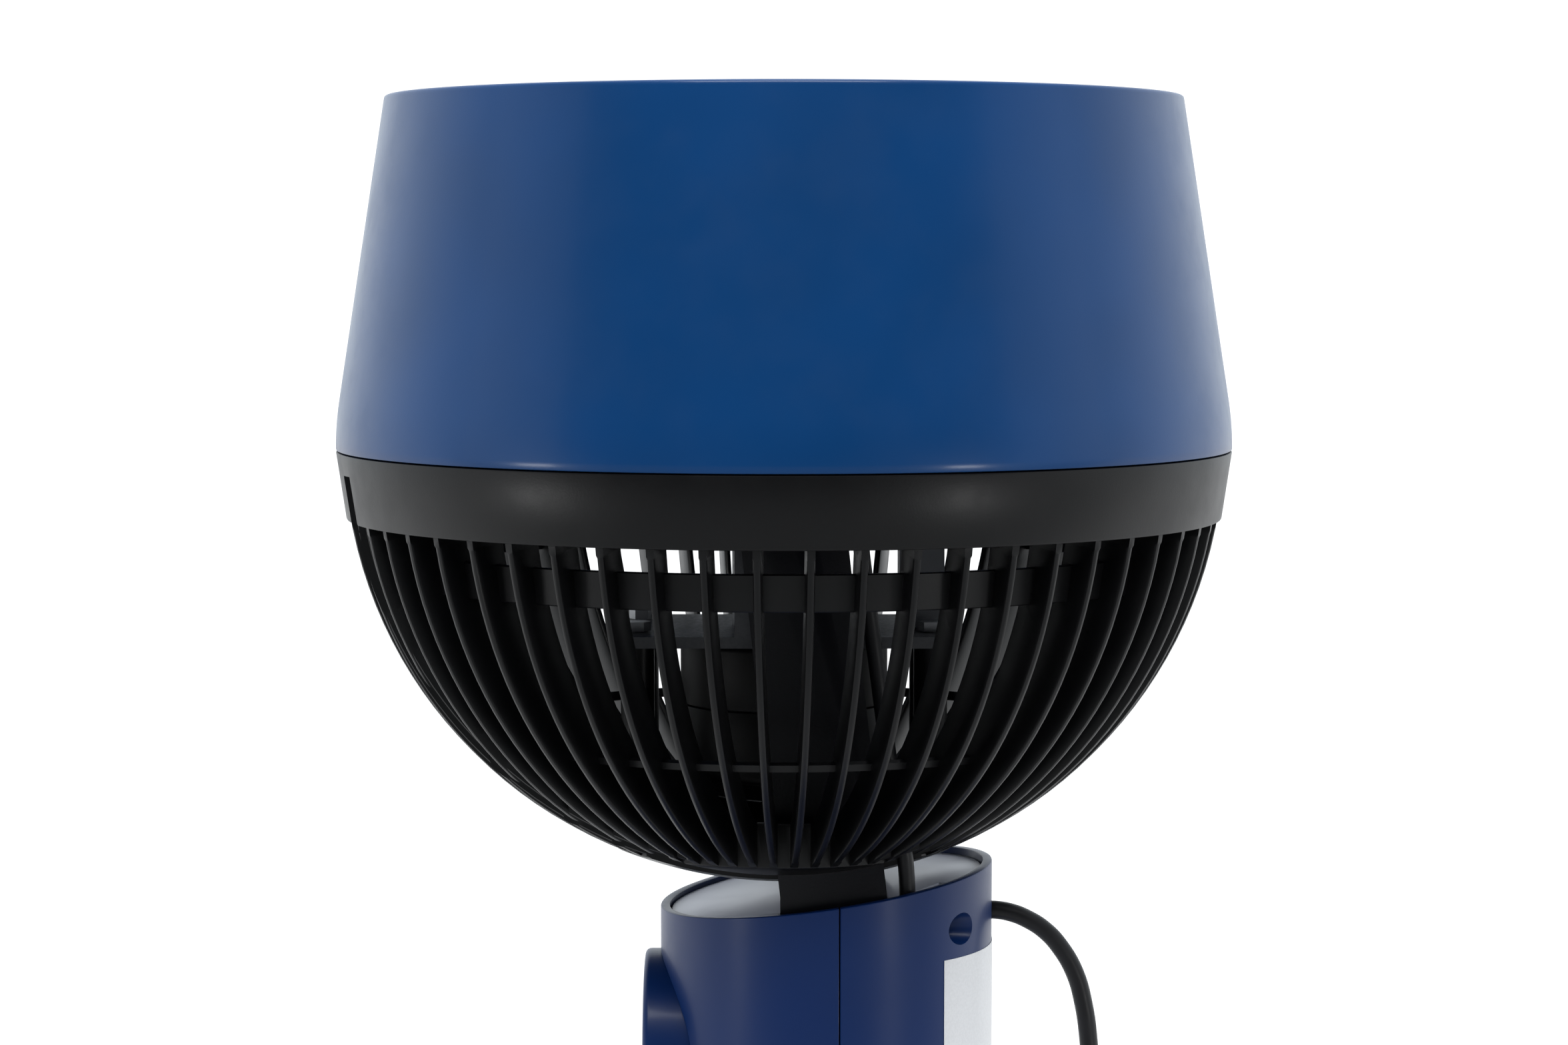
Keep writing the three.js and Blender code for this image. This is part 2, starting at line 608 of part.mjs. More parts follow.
function tiltBracket() {
  const webBottom = -WEB_DROP - WEB_THICKNESS;
  const ear = new THREE.Shape();
  ear.moveTo(-EAR_RADIUS, webBottom);
  ear.lineTo(EAR_RADIUS, webBottom);
  ear.lineTo(EAR_RADIUS, 0);
  ear.absarc(0, 0, EAR_RADIUS, 0, Math.PI, false);
  const pivotHole = new THREE.Path();
  pivotHole.absarc(0, 0, PIN_RADIUS + TOUCH_GAP, 0, 2 * Math.PI, true);
  ear.holes.push(pivotHole);
  const reach = [-WEB_HALF_LENGTH, WEB_HALF_LENGTH];
  const bushingBore = SHAFT_RADIUS + BUSHING_WALL + 2 * TOUCH_GAP;
  return join([
    solidOf(block([-EAR_OUTER, EAR_OUTER], reach, [webBottom, -WEB_DROP])),
    solidOf(plateAcrossX(ear, EAR_INNER, EAR_OUTER, PIN_SIDES / 2)),
    solidOf(plateAcrossX(ear, -EAR_OUTER, -EAR_INNER, PIN_SIDES / 2)),
    solidOf(disc(BEARING_TUBE_RADIUS, -WEB_DROP - 1, BEARING_TUBE_TOP, MOTOR_SIDES)),
  ])
    .subtract(solidOf(disc(bushingBore, webBottom - 1, BEARING_TUBE_TOP + 1, MOTOR_SIDES)))
    .subtract(
      join(
        postPlaces().map(([x, y]) =>
          solidOf(disc(SCREW_HOLE, webBottom - 1, 1 - WEB_DROP, SCREW_SIDES).translate(x, y, 0)),
        ),
      ),
    );
}

// A pan-head screw along +Z whose head rests on the plane z = 0.
function screw(length, radius = SCREW_RADIUS, headRadius = SCREW_HEAD_RADIUS) {
  return turned(
    [
      [0, -length],
      [radius, -length],
      [radius, 0],
      [headRadius, 0],
      [headRadius, SCREW_HEAD_HEIGHT],
      [0, SCREW_HEAD_HEIGHT],
    ],
    SCREW_SIDES,
  );
}

// ---------------------------------------------------------------------------
// Motor: two shells round a stator, with the rotor on the long shaft
// ---------------------------------------------------------------------------

const MOTOR_BOTTOM = MOTOR_TOP - MOTOR_LENGTH;
const MOTOR_SPLIT = MOTOR_TOP - MOTOR_FRONT_LENGTH;
const BUSHING_RADIUS_OUTER = SHAFT_RADIUS + TOUCH_GAP + BUSHING_WALL;
const REAR_POCKET_FLOOR = MOTOR_BOTTOM + MOTOR_WALL;
const REAR_BUSHING_LENGTH = BUSHING_LENGTH * 0.6;

function motorFrontShell() {
  const bore = MOTOR_RADIUS - MOTOR_WALL;
  const opening = BUSHING_RADIUS_OUTER + TOUCH_GAP;
  return turned(
    [
      [opening, MOTOR_TOP],
      [MOTOR_RADIUS - 1, MOTOR_TOP],
      [MOTOR_RADIUS, MOTOR_TOP - 1],
      [MOTOR_RADIUS, MOTOR_SPLIT],
      [bore, MOTOR_SPLIT],
      [bore, MOTOR_TOP - MOTOR_WALL],
      [opening, MOTOR_TOP - MOTOR_WALL],
    ],
    MOTOR_SIDES,
  );
}

function motorRearShell() {
  const top = MOTOR_SPLIT - TOUCH_GAP;
  const bore = MOTOR_RADIUS - MOTOR_WALL;
  const pocket = BUSHING_RADIUS_OUTER + TOUCH_GAP;
  const pocketTop = REAR_POCKET_FLOOR + REAR_BUSHING_LENGTH;
  return turned(
    [
      [0, MOTOR_BOTTOM],
      [MOTOR_RADIUS - 4, MOTOR_BOTTOM],
      [MOTOR_RADIUS, MOTOR_BOTTOM + 4],
      [MOTOR_RADIUS, top],
      [bore, top],
      [bore, MOTOR_BOTTOM + MOTOR_WALL + 3],
      [pocket + MOTOR_WALL, MOTOR_BOTTOM + MOTOR_WALL],
      [pocket + MOTOR_WALL, pocketTop],
      [pocket, pocketTop],
      [pocket, REAR_POCKET_FLOOR],
      [0, REAR_POCKET_FLOOR],
    ],
    MOTOR_SIDES,
  );
}

const STATOR_OUTER = MOTOR_RADIUS - MOTOR_WALL - TOUCH_GAP;
const STATOR_INNER = BUSHING_RADIUS_OUTER + TOUCH_GAP + MOTOR_WALL + STATOR_GAP;
const STATOR_TOP = MOTOR_TOP - MOTOR_WALL - 2.5;
const ROTOR_TOP = STATOR_TOP - 2;
const SHAFT_BOTTOM = REAR_POCKET_FLOOR + TOUCH_GAP;
const IMPELLER_TOP = IMPELLER_LOW + IMPELLER_HEIGHT;
const SHAFT_TOP = IMPELLER_TOP + SPINNER_HEIGHT * 0.6;

const bushing = (low, length) =>
  ring(SHAFT_RADIUS + TOUCH_GAP, BUSHING_RADIUS_OUTER, low, low + length);

// ---------------------------------------------------------------------------
// Impeller: a cup hub and twisted blades
// ---------------------------------------------------------------------------

const BLADE_TIP = shroudInnerRadius(IMPELLER_TOP) - TIP_GAP;

// A point of a blade's middle surface: along is 0 at the hub and 1 at the tip,
// round is -0.5 at the leading edge and 0.5 at the trailing edge.
function bladePoint(along, round) {
  const radius = HUB_RADIUS - HUB_WALL / 2 + along * (BLADE_TIP - HUB_RADIUS + HUB_WALL / 2);
  const wrap = radians(58 - 6 * along + 14 * along * (1 - along));
  const lean = radians(16) * along * along;
  const rise = (IMPELLER_HEIGHT - 6) * (1 - 0.42 * along);
  const camber = 3 * (1 - 4 * round * round);
  const angle = round * wrap + lean;
  const height = IMPELLER_LOW + IMPELLER_HEIGHT / 2 + round * rise + camber;
  return point(radius * Math.cos(angle), radius * Math.sin(angle), height);
}

function blade() {
  const step = 0.01;
  const faces = [1, -1].map((side) => {
    const sheet = [];
    for (let i = 0; i <= BLADE_SPAN_COUNT; i++) {
      for (let j = 0; j <= BLADE_CHORD_COUNT; j++) {
        const along = i / BLADE_SPAN_COUNT;
        const turn = j / BLADE_CHORD_COUNT - 0.5;
        const here = bladePoint(along, turn);
        const outwards = bladePoint(along + step, turn).sub(here);
        const onwards = bladePoint(along, turn + step).sub(here);
        const normal = outwards.cross(onwards).normalize();
        const taper = 0.35 + 0.65 * Math.cos(Math.PI * turn);
        sheet.push(here.addScaledVector(normal, (side * taper * BLADE_THICKNESS) / 2));
      }
    }
    return sheet;
  });
  const positions = faces.flat().flatMap((p) => [p.x, p.y, p.z]);
  const row = BLADE_CHORD_COUNT + 1;
  const sheetSize = (BLADE_SPAN_COUNT + 1) * row;
  const index = [];
  const quad = (a, b, c, d) => index.push(a, b, c, a, c, d);
  for (let i = 0; i < BLADE_SPAN_COUNT; i++) {
    for (let j = 0; j < BLADE_CHORD_COUNT; j++) {
      const a = i * row + j;
      quad(a, a + row, a + row + 1, a + 1);
      quad(a + sheetSize, a + sheetSize + 1, a + sheetSize + row + 1, a + sheetSize + row);
    }
  }
  const counted = (length, place) => Array.from({ length }, (_, k) => place(k));
  const boundary = [
    ...counted(BLADE_CHORD_COUNT, (j) => j),
    ...counted(BLADE_SPAN_COUNT, (i) => i * row + BLADE_CHORD_COUNT),
    ...counted(BLADE_CHORD_COUNT, (j) => sheetSize - 1 - j),
    ...counted(BLADE_SPAN_COUNT, (i) => (BLADE_SPAN_COUNT - i) * row),
  ];
  boundary.forEach((a, k) => {
    const b = boundary[(k + 1) % boundary.length];
    quad(a, b, b + sheetSize, a + sheetSize);
  });
  const geometry = new THREE.BufferGeometry();
  geometry.setAttribute("position", new THREE.Float32BufferAttribute(positions, 3));
  geometry.setIndex(index);
  return geometry;
}

function impeller() {
  const bore = SHAFT_RADIUS + TOUCH_GAP;
  const inner = HUB_RADIUS - HUB_WALL;
  const hub = turned(
    [
      [bore, IMPELLER_LOW],
      [HUB_BOSS_RADIUS, IMPELLER_LOW],
      [HUB_BOSS_RADIUS, IMPELLER_TOP - HUB_WALL],
      [inner - 2, IMPELLER_TOP - HUB_WALL],
      [inner, IMPELLER_LOW],
      [HUB_RADIUS, IMPELLER_LOW],
      [HUB_RADIUS, IMPELLER_TOP - 4],
      [HUB_RADIUS - 4, IMPELLER_TOP],
      [bore, IMPELLER_TOP],
    ],
    HUB_SIDES,
  );
  const blades = Array.from({ length: BLADE_COUNT }, (_, i) =>
    solidOf(blade().rotateZ((2 * Math.PI * i) / BLADE_COUNT)),
  );
  return join([solidOf(hub), ...blades]);
}

function spinnerNut() {
  const low = IMPELLER_TOP + TOUCH_GAP;
  const bore = SHAFT_RADIUS + TOUCH_GAP;
  const top = low + SPINNER_HEIGHT;
  return turned(
    [
      [bore, low],
      [SPINNER_RADIUS, low],
      [SPINNER_RADIUS, low + SPINNER_HEIGHT * 0.5],
      [SPINNER_RADIUS * 0.75, low + SPINNER_HEIGHT * 0.85],
      [0, top],
      [0, SHAFT_TOP + TOUCH_GAP],
      [bore, SHAFT_TOP + TOUCH_GAP],
    ],
    MOTOR_SIDES,
  );
}

// ---------------------------------------------------------------------------
// Fork: two prongs on a foot block inside the column
// ---------------------------------------------------------------------------

// The prongs stand upright up to just above the cap, and then lean towards the tilt axis.
const PRONG_BEND_Z = COLUMN_TOP + 2.2;
const prongRearAt = (z) =>
  THREE.MathUtils.mapLinear(z, PRONG_BEND_Z, PIVOT_HEIGHT, FORK_REAR_Y, PRONG_END_RADIUS);

function prong(side) {
  const bottom = FOOT_BOTTOM - TOUCH_GAP - PRONG_FLANGE_THICKNESS;
  const shape = new THREE.Shape();
  shape.moveTo(FORK_FRONT_Y, bottom);
  shape.lineTo(FORK_REAR_Y, bottom);
  shape.lineTo(FORK_REAR_Y, PRONG_BEND_Z);
  shape.lineTo(PRONG_END_RADIUS, PIVOT_HEIGHT);
  shape.absarc(0, PIVOT_HEIGHT, PRONG_END_RADIUS, 0, Math.PI, false);
  shape.lineTo(FORK_FRONT_Y, PRONG_BEND_Z);
  const pinHole = new THREE.Path();
  pinHole.absarc(0, PIVOT_HEIGHT, PIN_RADIUS + TOUCH_GAP, 0, 2 * Math.PI, true);
  shape.holes.push(pinHole);
  const span = side > 0 ? [PRONG_INNER, PRONG_OUTER] : [-PRONG_OUTER, -PRONG_INNER];
  const flangeEnd = PRONG_INNER - PRONG_FLANGE_LENGTH;
  const flangeSpan = side > 0 ? [flangeEnd, PRONG_INNER + 1] : [-PRONG_INNER - 1, -flangeEnd];
  const flange = block(
    flangeSpan,
    [FORK_FRONT_Y + 4, FORK_REAR_Y - 3],
    [bottom, bottom + PRONG_FLANGE_THICKNESS],
  );
  const hole = disc(SCREW_HOLE, bottom - 1, FOOT_BOTTOM, SCREW_SIDES);
  return solidOf(plateAcrossX(shape, ...span, PIN_SIDES / 2))
    .add(solidOf(flange))
    .subtract(solidOf(hole.translate(side * PRONG_SCREW_X, FORK_Y, 0)));
}

const PRONG_SCREW_X = PRONG_INNER - PRONG_FLANGE_LENGTH * 0.7;

function forkFoot() {
  const half = PRONG_INNER - TOUCH_GAP;
  const body = block([-half, half], [FORK_FRONT_Y + 1, FOOT_REAR_Y], [FOOT_BOTTOM, FOOT_TOP]);
  let foot = solidOf(body);
  for (const side of [1, -1]) {
    const lug = facingRear(disc(LUG_RADIUS, FOOT_REAR_Y - 1, LUG_END_Y));
    const lugHole = facingRear(disc(SCREW_HOLE, FOOT_REAR_Y - 4, LUG_END_Y + 1, SCREW_SIDES));
    const longHole = facingRear(disc(SCREW_HOLE, FORK_FRONT_Y, FOOT_REAR_Y + 1, SCREW_SIDES));
    const flangeHole = disc(SCREW_HOLE, FOOT_BOTTOM - 1, FOOT_BOTTOM + 15, SCREW_SIDES);
    foot = foot
      .add(solidOf(lug.translate(side * SCREW_X, 0, SCREW_Z)))
      .subtract(solidOf(lugHole.translate(side * SCREW_X, 0, SCREW_Z)))
      .subtract(solidOf(longHole.translate(side * FORK_SCREW_X, 0, FORK_SCREW_Z)))
      .subtract(solidOf(flangeHole.translate(side * PRONG_SCREW_X, FORK_Y, 0)));
  }
  return foot;
}

// A headed pin through the prong and the bracket's ear, along +X from its head inwards.
function pivotPin(side) {
  const headSeat = PRONG_OUTER + TOUCH_GAP;
  const end = EAR_INNER - TOUCH_GAP - NUT_THICKNESS - 0.5;
  const pin = turned(
    [
      [0, end],
      [PIN_RADIUS, end],
      [PIN_RADIUS, headSeat],
      [PIN_HEAD_RADIUS, headSeat],
      [PIN_HEAD_RADIUS, headSeat + PIN_HEAD_THICKNESS - 1],
      [PIN_HEAD_RADIUS - 1, headSeat + PIN_HEAD_THICKNESS],
      [0, headSeat + PIN_HEAD_THICKNESS],
    ],
    PIN_SIDES,
  );
  return onSide(facingRight(pin), side);
}

const onSide = (geometry, side) => (side > 0 ? geometry : geometry.rotateZ(Math.PI));

function pivotNut(side) {
  const low = EAR_INNER - TOUCH_GAP - NUT_THICKNESS;
  const shape = polygonShape(NUT_RADIUS, 6);
  const hole = new THREE.Path();
  hole.absarc(0, 0, PIN_RADIUS + TOUCH_GAP, 0, 2 * Math.PI, true);
  shape.holes.push(hole);
  const nut = extruded(shape, NUT_THICKNESS, PIN_SIDES / 2).translate(0, 0, low);
  return onSide(facingRight(nut), side);
}

function frictionWasher(side) {
  const low = EAR_OUTER + TOUCH_GAP;
  const washer = ring(PIN_RADIUS + TOUCH_GAP, WASHER_RADIUS, low, low + WASHER_THICKNESS);
  return onSide(facingRight(washer), side);
}

// ---------------------------------------------------------------------------
// Column: two shells with a slanted rim, and the cap that closes it under the head
// ---------------------------------------------------------------------------

const FAR = 300; // beyond everything, for cutting blocks

// Everything above the slanted plane that lies a distance below the tilt axis.
function aboveSlant(distance) {
  const cutter = block([-FAR, FAR], [-FAR, FAR], [0, FAR]).rotateX(SLANT);
  return solidOf(cutter.translate(0, 0, slantedHeight(distance, 0)));
}

const columnCylinder = (radius, low, high) =>
  solidOf(disc(radius, low, high, BODY_SIDES).translate(0, COLUMN_SET_BACK, 0));

const COLUMN_SEAM = COLUMN_SET_BACK + COLUMN_SEAM_Y;

function columnWall() {
  return columnCylinder(COLUMN_RADIUS, COLUMN_FOOT, COLUMN_TOP + COLUMN_RADIUS)
    .subtract(columnCylinder(COLUMN_BORE, COLUMN_FOOT - 1, COLUMN_TOP + COLUMN_RADIUS + 1))
    .subtract(aboveSlant(CAP_DISTANCE - CAP_RECESS));
}

const bar = (radius, y0, y1, x, z, sides = PIN_SIDES) =>
  solidOf(facingRear(disc(radius, y0, y1, sides)).translate(x, 0, z));

function columnFrontShell() {
  const half = solidOf(
    block([-FAR, FAR], [-FAR, COLUMN_SEAM - TOUCH_GAP / 2], [-FAR, FAR]),
  );
  const inside = columnCylinder(COLUMN_RADIUS - 0.5, COLUMN_FOOT, COLUMN_TOP);
  const bridgeReach = DIAL_RADIUS + DIAL_GAP + 1.2 + BRIDGE_LEG;
  const legs = [1, -1].map((side) => {
    const [a, b] = [side * bridgeReach, side * (bridgeReach - BRIDGE_LEG)].sort((m, n) => m - n);
    return solidOf(
      block(
        [-BRIDGE_WIDTH / 2, BRIDGE_WIDTH / 2],
        [COLUMN_FRONT_Y, BRIDGE_BACK_Y],
        [DIAL_Z + a, DIAL_Z + b],
      ),
    );
  });
  const bridge = block(
    [-BRIDGE_WIDTH / 2, BRIDGE_WIDTH / 2],
    [BRIDGE_FRONT_Y, BRIDGE_BACK_Y],
    [DIAL_Z - bridgeReach, DIAL_Z + bridgeReach],
  );
  const bosses = [1, -1].flatMap((side) => [
    bar(BOSS_RADIUS, COLUMN_FRONT_Y, FORK_FRONT_Y + 1 - TOUCH_GAP, side * FORK_SCREW_X, FORK_SCREW_Z),
    bar(BOSS_RADIUS, COLUMN_FRONT_Y, RECESS_FLOOR_Y - LOWER_BOSS_DEPTH, side * SCREW_X, LOWER_SCREW_Z),
  ]);
  const lowerHoleEnd = RECESS_FLOOR_Y - LOWER_SCREW_LENGTH - 2;
  const boreholes = [1, -1].flatMap((side) => [
    bar(SCREW_HOLE, FORK_FRONT_Y - 15, FORK_FRONT_Y + 3, side * FORK_SCREW_X, FORK_SCREW_Z, SCREW_SIDES),
    bar(SCREW_HOLE, lowerHoleEnd, RECESS_FLOOR_Y, side * SCREW_X, LOWER_SCREW_Z, SCREW_SIDES),
  ]);
  return columnWall()
    .intersect(half)
    .add(join([...legs, solidOf(bridge), ...bosses]).intersect(inside))
    .subtract(bar(DIAL_RADIUS + DIAL_GAP, COLUMN_FRONT_Y - 5, BRIDGE_FRONT_Y - 2, 0, DIAL_Z, DIAL_SIDES))
    .subtract(bar(BUSHING_RADIUS + TOUCH_GAP, BRIDGE_FRONT_Y - 3, BRIDGE_BACK_Y + 1, 0, DIAL_Z))
    .subtract(join(boreholes));
}

function columnRearShell() {
  const half = solidOf(block([-FAR, FAR], [COLUMN_SEAM + TOUCH_GAP / 2, FAR], [-FAR, FAR]));
  const inside = columnCylinder(COLUMN_RADIUS, COLUMN_FOOT, COLUMN_TOP + COLUMN_RADIUS);
  const bossRadius = RECESS_RADIUS + RECESS_WALL;
  const upperStart = LUG_END_Y + TOUCH_GAP;
  const lowerStart = RECESS_FLOOR_Y - LOWER_BOSS_DEPTH + TOUCH_GAP;
  let shell = columnWall().intersect(half);
  for (const side of [1, -1]) {
    for (const [z, start] of [[SCREW_Z, upperStart], [LOWER_SCREW_Z, lowerStart]]) {
      shell = shell
        .add(bar(bossRadius, start, COLUMN_REAR_Y, side * SCREW_X, z).intersect(inside))
        .subtract(bar(RECESS_RADIUS, RECESS_FLOOR_Y, COLUMN_REAR_Y + 1, side * SCREW_X, z))
        .subtract(bar(SCREW_HOLE, start - 1, RECESS_FLOOR_Y + 1, side * SCREW_X, z, SCREW_SIDES));
    }
  }
  const outlet = bar(GLAND_RADIUS + TOUCH_GAP, COLUMN_REAR_Y - 10, COLUMN_REAR_Y + 1, 0, SCREW_Z);
  return shell.subtract(outlet);
}

const LEAD_X = PRONG_INNER + LEAD_RADIUS - 0.1;
const LEAD_Y = FOOT_REAR_Y + LEAD_RADIUS + 2.6;

function columnCap() {
  const half = COLUMN_BORE - CAP_EDGE_GAP;
  const disk = columnCylinder(half, COLUMN_FOOT, COLUMN_TOP + COLUMN_RADIUS)
    .subtract(aboveSlant(CAP_DISTANCE))
    .intersect(aboveSlant(CAP_DISTANCE + CAP_THICKNESS));
  const sideGap = TOUCH_GAP + 0.2;
  const notches = [1, -1].map((side) => {
    const [a, b] = [side * (PRONG_INNER - sideGap), side * FAR].sort((m, n) => m - n);
    return solidOf(
      block([a, b], [FORK_FRONT_Y - sideGap, FORK_REAR_Y + sideGap], [COLUMN_FOOT, PIVOT_HEIGHT]),
    );
  });
  // The lead drops through a curved notch that follows the cap's edge.
  const [start, end] = [radians(15), radians(58)];
  const leadNotch = outline([
    ...arc(half + 1, start, end, 5),
    ...arc(half - LEAD_NOTCH_WIDTH, end, start, 5),
  ]);
  const leadCut = extruded(leadNotch, PIVOT_HEIGHT).translate(0, COLUMN_SET_BACK, 0);
  const behindLead = block([0, FAR], [LEAD_Y - LEAD_RADIUS - 2 * TOUCH_GAP, FAR], [0, FAR]);
  return disk.subtract(join([...notches, solidOf(leadCut).intersect(solidOf(behindLead))]));
}

// ---------------------------------------------------------------------------
// Speed dial, and the rotary switch behind it
// ---------------------------------------------------------------------------

const DIAL_BORE_END = DIAL_FRONT_Y + DIAL_WALL + 1;

function speedDial() {
  const bore = SWITCH_SHAFT_RADIUS + TOUCH_GAP;
  const back = DIAL_FRONT_Y + DIAL_LENGTH;
  const inner = DIAL_RADIUS - DIAL_WALL;
  const dial = turned(
    [
      [0, DIAL_FRONT_Y],
      [DIAL_RADIUS - DIAL_EDGE, DIAL_FRONT_Y],
      [DIAL_RADIUS, DIAL_FRONT_Y + DIAL_EDGE],
      [DIAL_RADIUS, back],
      [inner, back],
      [inner, DIAL_FRONT_Y + DIAL_WALL],
      [DIAL_HUB_RADIUS, DIAL_FRONT_Y + DIAL_WALL],
      [DIAL_HUB_RADIUS, back - 3],
      [bore, back - 3],
      [bore, DIAL_BORE_END],
      [0, DIAL_BORE_END],
    ],
    DIAL_SIDES,
  );
  return facingRear(dial);
}

const SWITCH_FRONT_Y = BRIDGE_BACK_Y + TOUCH_GAP;
const NECK_END_Y = BRIDGE_FRONT_Y - 4;

function rotarySwitch() {
  const half = SWITCH_SIZE / 2;
  const body = block([-half, half], [SWITCH_FRONT_Y, SWITCH_FRONT_Y + SWITCH_DEPTH], [-half, half]);
  return solidOf(body)
    .add(bar(BUSHING_RADIUS, NECK_END_Y, SWITCH_FRONT_Y + 1, 0, 0))
    .subtract(bar(SWITCH_SHAFT_RADIUS + TOUCH_GAP, NECK_END_Y - 1, SWITCH_FRONT_Y + 8, 0, 0));
}

function switchNut() {
  const shape = polygonShape(BUSHING_RADIUS + 2.8, 6);
  const hole = new THREE.Path();
  hole.absarc(0, 0, BUSHING_RADIUS + TOUCH_GAP, 0, 2 * Math.PI, true);
  shape.holes.push(hole);
  const thickness = 2.4;
  const nut = facingRear(extruded(shape, thickness, PIN_SIDES / 2));
  return nut.translate(0, BRIDGE_FRONT_Y - TOUCH_GAP - thickness, 0);
}

// ---------------------------------------------------------------------------
// Base
// ---------------------------------------------------------------------------

const baseCurve = (inset) =>
  new THREE.CubicBezierCurve(
    new THREE.Vector2(BASE_RADIUS - inset, BASE_EDGE_HEIGHT - inset * 0.4),
    new THREE.Vector2(BASE_RADIUS - 5 - inset, BASE_DOME_HEIGHT - inset),
    new THREE.Vector2(COLUMN_RADIUS + 7 - inset, BASE_DOME_HEIGHT - inset),
    new THREE.Vector2(COLUMN_RADIUS - inset, BASE_HEIGHT - inset * 0.4),
  );

function baseCover() {
  const skirtFoot = FOOT_PAD_HEIGHT - 0.5;
  const spigotOuter = COLUMN_BORE - TOUCH_GAP;
  const spigotInner = spigotOuter - BASE_WALL;
  const outer = baseCurve(0).getPoints(4).map((p) => [p.x, p.y]);
  const inner = baseCurve(BASE_WALL).getPoints(3).map((p) => [p.x, p.y]);
  const middle = baseCurve(BASE_WALL / 2).getPoints(3).map((p) => [p.x, p.y]);
  const shell = turned([
    [BASE_RADIUS - BASE_WALL, skirtFoot],
    [BASE_RADIUS, skirtFoot],
    ...outer,
    [spigotOuter, BASE_HEIGHT],
    [spigotOuter, BASE_HEIGHT + BASE_SPIGOT_HEIGHT],
    [spigotInner, BASE_HEIGHT + BASE_SPIGOT_HEIGHT],
    [spigotInner, BASE_HEIGHT - BASE_WALL - 1],
    ...inner.slice(0, -1).reverse(),
  ], BODY_SIDES);
  // The bosses end inside the dome's wall, so they are cut off along its middle
  const underDome = turned([[0, 0], [BASE_RADIUS, 0], ...middle, [0, BASE_HEIGHT]], BODY_SIDES);
  const boss = ring(SCREW_HOLE, BOSS_RADIUS, BALLAST_LOW, BASE_HEIGHT);
  const bosses = baseScrewPlaces().map(([x, y]) => solidOf(boss.clone().translate(x, y, 0)));
  return join([solidOf(shell), join(bosses).intersect(solidOf(underDome))]);
}

const aroundBase = (count, radius, turn) =>
  Array.from({ length: count }, (_, i) => {
    const angle = turn + (2 * Math.PI * i) / count;
    return [radius * Math.cos(angle), radius * Math.sin(angle)];
  });
const baseScrewPlaces = () => aroundBase(3, BASE_SCREW_CIRCLE, Math.PI / 2);
const footPlaces = () => aroundBase(4, FOOT_PAD_CIRCLE, Math.PI / 4);

function basePlate() {
  const radius = BASE_RADIUS - BASE_WALL - TOUCH_GAP;
  const holes = baseScrewPlaces().map(([x, y]) =>
    solidOf(disc(SCREW_HOLE, BASE_BOTTOM - 1, BASE_PLATE_TOP + 1, SCREW_SIDES).translate(x, y, 0)),
  );
  return solidOf(disc(radius, BASE_BOTTOM, BASE_PLATE_TOP, BODY_SIDES)).subtract(join(holes));
}

function footPad() {
  return turned(
    [
      [0, 0],
      [FOOT_PAD_RADIUS, 0],
      [FOOT_PAD_RADIUS, FOOT_PAD_HEIGHT],
      [0, FOOT_PAD_HEIGHT],
    ],
    PIN_SIDES,
  );
}

// ---------------------------------------------------------------------------
// Cords
// ---------------------------------------------------------------------------

const GLAND_FACE_Y = COLUMN_REAR_Y - 1.5;

// The strain relief inside the column, round the place where the mains cord leaves it.
function cordGland() {
  const tail = GLAND_FACE_Y - GLAND_LENGTH;
  const flange = COLUMN_REAR_Y - COLUMN_WALL - TOUCH_GAP - 0.6;
  return facingRear(
    turned(
      [
        [0, tail],
        [GLAND_RADIUS - 1.2, tail],
        [GLAND_RADIUS, flange - 3],
        [GLAND_RADIUS + 2.5, flange - 3],
        [GLAND_RADIUS + 2.5, flange],
        [GLAND_RADIUS, flange],
        [GLAND_RADIUS, GLAND_FACE_Y],
        [0, GLAND_FACE_Y],
      ],
      PIN_SIDES,
    ),
  ).translate(0, 0, SCREW_Z);
}

const COIL_START_Y = COIL_CENTRE_Y - 2 * CORD_RADIUS;

// The mains cord hangs from the column's rear in the curve that its stiffness gives it,
// and lies down on the table behind the base.
const cordRoute = [
  [GLAND_FACE_Y + TOUCH_GAP, SCREW_Z],
  [57.5, 147.1],
  [62, 146.3],
  [66.4, 144.5],
  [71, 141.5],
  [75, 137.2],
  [79.3, 129.8],
  [81.8, 121],
  [83.2, 111],
  [84, 98],
  [85.3, 82],
  [88.5, 64],
  [94, 46],
  [101.5, 30],
  [111, 15.5],
  [121, 6],
  [131, LAYER_LOW + 0.4],
  [138, LAYER_LOW],
  [COIL_START_Y - TOUCH_GAP, LAYER_LOW],
];

function mainsCord() {
  const curve = new THREE.CatmullRomCurve3(cordRoute.map(([y, z]) => point(0, y, z)));
  return tube(curve, CORD_RADIUS, 8, 16);
}

// The height and radius of the coiled cord's middle line after a number of turns: it winds
// in on the table, climbs a layer in the half turn where it turns back, and winds out again.
function coilPoint(turns) {
  const climb = 0.5;
  const inwards = Math.min(turns, TURNS_PER_LAYER);
  const outwards = Math.max(turns - TURNS_PER_LAYER - climb, 0);
  const share = Math.min(Math.max((turns - TURNS_PER_LAYER) / climb, 0), 1);
  const tuck = COIL_TUCK * Math.sin(Math.PI * share);
  const radius = COIL_OUTER_RADIUS - COIL_PITCH * (inwards - outwards) - tuck;
  const angle = 2 * Math.PI * turns;
  return point(
    radius * Math.cos(angle) - COIL_OUTER_RADIUS,
    radius * Math.sin(angle) + COIL_CENTRE_Y,
    LAYER_LOW + (LAYER_HIGH - LAYER_LOW) * share,
  );
}

const COIL_TURNS = 2 * TURNS_PER_LAYER + 0.5;
const COIL_STEPS_PER_TURN = 18;

